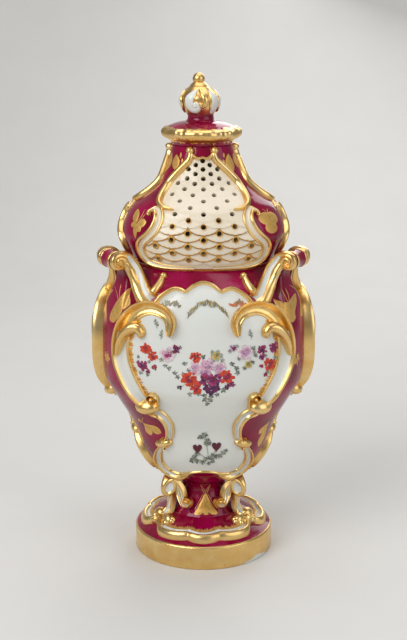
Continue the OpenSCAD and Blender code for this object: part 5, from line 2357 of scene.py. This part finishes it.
    def _moth(self, brush: Brush, patch: Patch) -> None:
        """Gilt moth: a broad oval pair of wings over a smaller pair.

        Args:
            brush: Brush to lay it with.
            patch: Sheet on the claret corner.
        """
        turn = round_turns(32)
        reach = 1 - 0.16 * np.exp(-((turn - 1.57) / 0.3) ** 2)
        for wide, tall, drop in ((5.6, 4.0, -4.4), (9.4, 4.6, 1.4)):
            edge = np.stack([wide * np.cos(turn) * reach, tall * np.sin(turn) * reach + drop], axis=-1)
            brush.skin(patch, edge, (0.92, 0.9, 0.82), PAINTS.gilt_full, 1.0, (0, drop), 3)
        for side in (-1, 1):
            brush.stroke(patch, ((0, 3.8), (side * 0.5, 0.4), (side * 1.5, -2.6)), 0.4, PAINTS.gilt_shade,
                         1.0)
            brush.stroke(patch, ((side * 0.5, 4.4), (side * 1.2, 6.2), (side * 2.6, 7.4)), 0.4,
                         PAINTS.gilt_full, 1.0)

    def _ring(self, brush: Brush, angle: float, share: float, width: float) -> None:
        """Gold ring round a scent hole.

        Args:
            brush: Brush to lay it with.
            angle: Degrees of the hole.
            share: Share of the hole.
            width: Width of the ring, in millimetres.
        """
        ring = round_turns(20)
        patch = Patch(COVER, angle, share)
        lift = 0.2 + self.scale_relief
        reach = self.hole_d / 2 + np.array([-0.03, -0.03, 0.4 * width, width])
        lifts = np.array([-0.3, lift, lift, 0.0])
        grid = patch.place(np.outer(reach, np.cos(ring)), np.outer(reach, np.sin(ring)),
                           np.repeat(lifts[:, None], len(ring), 1))
        brush.draft.add_grid(grid, caps=False, gilt=1.0, tint=(1.0, 0.96, 0.84))

    def _collar(self) -> None:
        """Collar: claret dome, thick gold rim with a wavy edge, and a claret throat."""
        base, tall = LEVELS.collar_z, LEVELS.collar_h
        r, half = self.collar_r, 4.2
        middle = base + 0.5 * tall
        rim = [(r - d, middle + z) for d, z in (
            (5.3, -4.4), (4.4, -3.9), (3.0, -3.2), (1.6, -2.5), (0.6, -1.5), (0.1, -0.3), (0.0, 1.0),
            (0.3, 2.0), (1.0, 2.8), (2.1, 3.4), (3.2, 3.8), (half, half))]
        profile = [(0.1, base), (17.6, base), (18.4, base + 0.4), (18.7, base + 1.2), *rim,
                   *[(r - half - (r - half - 8) * t, middle + half + (tall / 2 - half) * (1 - (1 - t) ** 2))
                     for t in np.linspace(0.08, 1, 12)], (0.1, base + tall)]
        draft = lathe(profile, 180)
        points, layer = draft.points[0], draft.layers[0]
        angle = bearing(points)
        radius = np.hypot(points[:, 0], points[:, 1])
        upper = points[:, 2] > middle
        above = (radius - (r - half + 0.6 + 1.5 * waves(angle, 7))) / 2 + 0.5
        below = (radius - (r - half - 1.1 + 0.3 * waves(angle, 9))) / 2 + 0.5
        layer[:, 0] = np.clip(np.where(upper, above, below), 0, 1)
        layer[:, 1] = 1
        swell = waves(angle + 40, 8) * ramp(radius, r - half, r - 1)
        points[:, :2] *= (1 + 0.7 / r * swell)[:, None]
        points[:, 2] += 0.4 * swell
        draft.make("collar_glazed_and_gilt", self.finishes.porcelain, Carrier.COVER, Slot.CLARET, ("collar",),
                   sharp=60)

    def _finial(self) -> None:
        """Claret neck, gold bud with curled leaves and a gold tip."""
        z0, z1, z2, top = LEVELS.neck_z, LEVELS.bud_z, LEVELS.tip_z, LEVELS.top_z
        neck = [(0.1, z0), (9.4, z0), (8.6, z0 + 0.7), (8.0, z0 + 1.8), (7.9, z1 - 1.2), (8.2, z1), (0.1, z1)]
        self._turn("finial_neck_glazed", "finial_neck", neck, 72, Slot.CLARET)
        bud = [(0.1, z1), *[(float(BUD.outline.at(v)), z1 + v * LEVELS.bud_h) for v in np.linspace(0, 1, 24)],
               (0.1, z2)]
        self._turn("finial_bud_gilt", "finial_bud", bud, 72, Slot.GILDING)
        leaves = Draft()
        comma = GroundLine(BUD, ((-10, 0.86, 1.0, 0.9), (-20, 0.75, 4.4, 1.3), (-31, 0.55, 6.6, 1.5),
                                 (-32, 0.34, 7.0, 1.5)), end=Volute(3.3, 0.85, 1, 0.0))
        hook = GroundLine(BUD, ((4, 0.9, 2.2, 1.0), (12, 0.74, 3.8, 1.6), (17, 0.55, 4.4, 1.8),
                                (15, 0.38, 3.8, 1.8)), end=Volute(1.8, 0.7, -1))
        petal = GroundLine(BUD, ((40, 0.84, 1.0, 0.9), (46, 0.68, 5.2, 1.4), (50, 0.46, 7.4, 1.6),
                                 (47, 0.24, 6.2, 1.4), (40, 0.06, 2.0, 1.0)))
        for turn in (0, 115, 226):
            leaves.join(comma.relief_draft(PETAL), turn)
            leaves.join(hook.relief_draft(CORD), turn)
            leaves.join(petal.relief_draft(PETAL), turn)
        leaves.make("finial_leaves_modelled", self.finishes.porcelain, Carrier.COVER, Slot.WHITE,
                    ("finial_leaves",))
        ball = 3.7
        tip = [(0.1, z2), (5.7, z2), (5.0, z2 + 1.0), (3.6, z2 + 2.2), (2.8, z2 + 3.0)]
        centre = top - ball
        turns = np.radians(np.linspace(-35, 88, 16))
        tip += [(ball * math.cos(t), centre + ball * math.sin(t)) for t in turns]
        self._turn("finial_tip_gilt", "finial_tip", tip, 60, Slot.GILDING)

    def _turn(self, name: str, node: str, outline: Sequence[Sequence[float]], segments: int,
              slot: Slot) -> None:
        """Makes a turned piece of the finial, all gold or all claret by its slot.

        Args:
            name: Name of the piece.
            node: CAD node that it replaces.
            outline: Radii and heights from the foot up.
            segments: Columns round the axis.
            slot: Material slot of the part.
        """
        gold = float(slot is Slot.GILDING)
        draft = lathe([(r, z, gold, 1 - gold) for r, z in outline], segments)
        draft.make(name, self.finishes.porcelain, Carrier.COVER, slot, (node,))


@dataclass(frozen=True)
class Softbox:
    """Square soft lamp: its name, its place and side in metres, and its strength in watts."""

    name: str
    place: tuple[float, float, float]
    size: float
    watts: float


@dataclass
class Studio:
    """Pale floor, soft lamps and the camera, in metres."""

    floor_hex: str = "#D9D7D3"
    floor_cloud_hex: str = "#D3D1CD"
    floor_half: float = 2.2
    floor_near: float = -1.6
    sweep_from: float = 0.7
    sweep_r: float = 0.5
    wall_top: float = 2.2
    air_hex: str = "#C9CCD0"
    air_glow: float = 0.38
    aim: tuple[float, float, float] = (0.0, 0.0, 0.16)
    camera_at: tuple[float, float, float] = (0.0, -0.785, 0.351)
    pitch: float = 14.3
    lens: float = 72.0
    sensor: float = 36.0
    sight: float = 20.0
    softboxes: tuple[Softbox, ...] = (
        Softbox("key_softbox", (-0.75, -0.85, 0.95), 0.9, 12.0),
        Softbox("fill_softbox", (0.95, -0.7, 0.6), 1.0, 4.6),
        Softbox("top_softbox", (0.05, 0.1, 1.25), 1.0, 5.6),
        Softbox("rim_softbox", (0.3, 0.95, 0.7), 0.7, 3.6))

    def build(self) -> None:
        """Builds the studio."""
        scene = bpy.context.scene
        scene.view_settings.view_transform = "Standard"
        self._floor()
        self._world()
        for softbox in self.softboxes:
            self._lamp(softbox)
        eye = bpy.data.cameras.new("camera")
        eye.lens, eye.sensor_width, eye.clip_end = self.lens, self.sensor, self.sight
        camera = bpy.data.objects.new("camera", eye)
        camera.location = self.camera_at
        camera.rotation_euler = (math.radians(90 - self.pitch), 0.0, 0.0)
        scene.collection.objects.link(camera)
        scene.camera = camera

    def _lamp(self, softbox: Softbox) -> None:
        """Adds a soft lamp that looks at the vase.

        Args:
            softbox: The lamp to add.
        """
        light = bpy.data.lights.new(softbox.name, "AREA")
        light.energy, light.size = softbox.watts, softbox.size
        lamp = bpy.data.objects.new(softbox.name, light)
        lamp.location = softbox.place
        aim = np.array(self.aim) - np.array(softbox.place)
        flat = math.hypot(aim[0], aim[1])
        lamp.rotation_euler = (math.atan2(flat, -aim[2]), 0.0, math.atan2(aim[1], aim[0]) - math.pi / 2)
        bpy.context.scene.collection.objects.link(lamp)

    def _floor(self) -> None:
        """Pale floor that sweeps up into a backdrop."""
        start, r = self.sweep_from, self.sweep_r
        rows = [(self.floor_near, 0.0), (start, 0.0)]
        rows += [(start + r * math.sin(t), r - r * math.cos(t)) for t in np.linspace(0.1, 1.5, 14)]
        rows += [(start + r, self.wall_top)]
        points = [(x, y, z) for y, z in rows for x in (-self.floor_half, self.floor_half)]
        faces = [(2 * i, 2 * i + 1, 2 * i + 3, 2 * i + 2) for i in range(len(rows) - 1)]
        mesh = bpy.data.meshes.new("floor")
        mesh.from_pydata(points, [], faces)
        mesh.shade_smooth()
        # Matt paper, with a faint cloudiness.
        material, tree = new_tree("floor_matt_paper")
        colour = blend_of(tree, grain(tree, 60, 3), linear(self.floor_hex), linear(self.floor_cloud_hex))
        add_surface(tree, {"Base Color": colour, "Roughness": 0.85})
        mesh.materials.append(material)
        floor = bpy.data.objects.new("floor", mesh)
        bpy.context.scene.collection.objects.link(floor)

    def _world(self) -> None:
        """Soft neutral surroundings."""
        world = bpy.data.worlds.new("studio")
        world.use_nodes = True
        tree = world.node_tree
        tree.nodes.clear()
        glow = add_node(tree, "ShaderNodeBackground", {"Color": linear(self.air_hex),
                                                       "Strength": self.air_glow})
        add_node(tree, "ShaderNodeOutputWorld", {"Surface": glow.outputs[0]})
        bpy.context.scene.world = world


def main() -> None:
    """Builds the vase and its studio."""
    logging.basicConfig(level=logging.INFO, format="%(message)s")
    # The cover's white is warmer than the body's.
    ivory = PaintedPorcelain(white="#E7DCC8", white_pool="#DCCEB6",
                             name="porcelain_ivory_glazed_enamelled_and_gilt")
    finishes = Finishes(PaintedPorcelain().material(), ivory.material(), OverglazeEnamel().material(),
                        FlatGilding().material())
    Plinth(finishes).build()
    Foot(finishes).build()
    pot = Pot(finishes)
    pot.build()
    Handle(finishes, pot.shell).build()
    Cover(finishes).build()
    Studio().build()


if __name__ == "__main__":
    main()
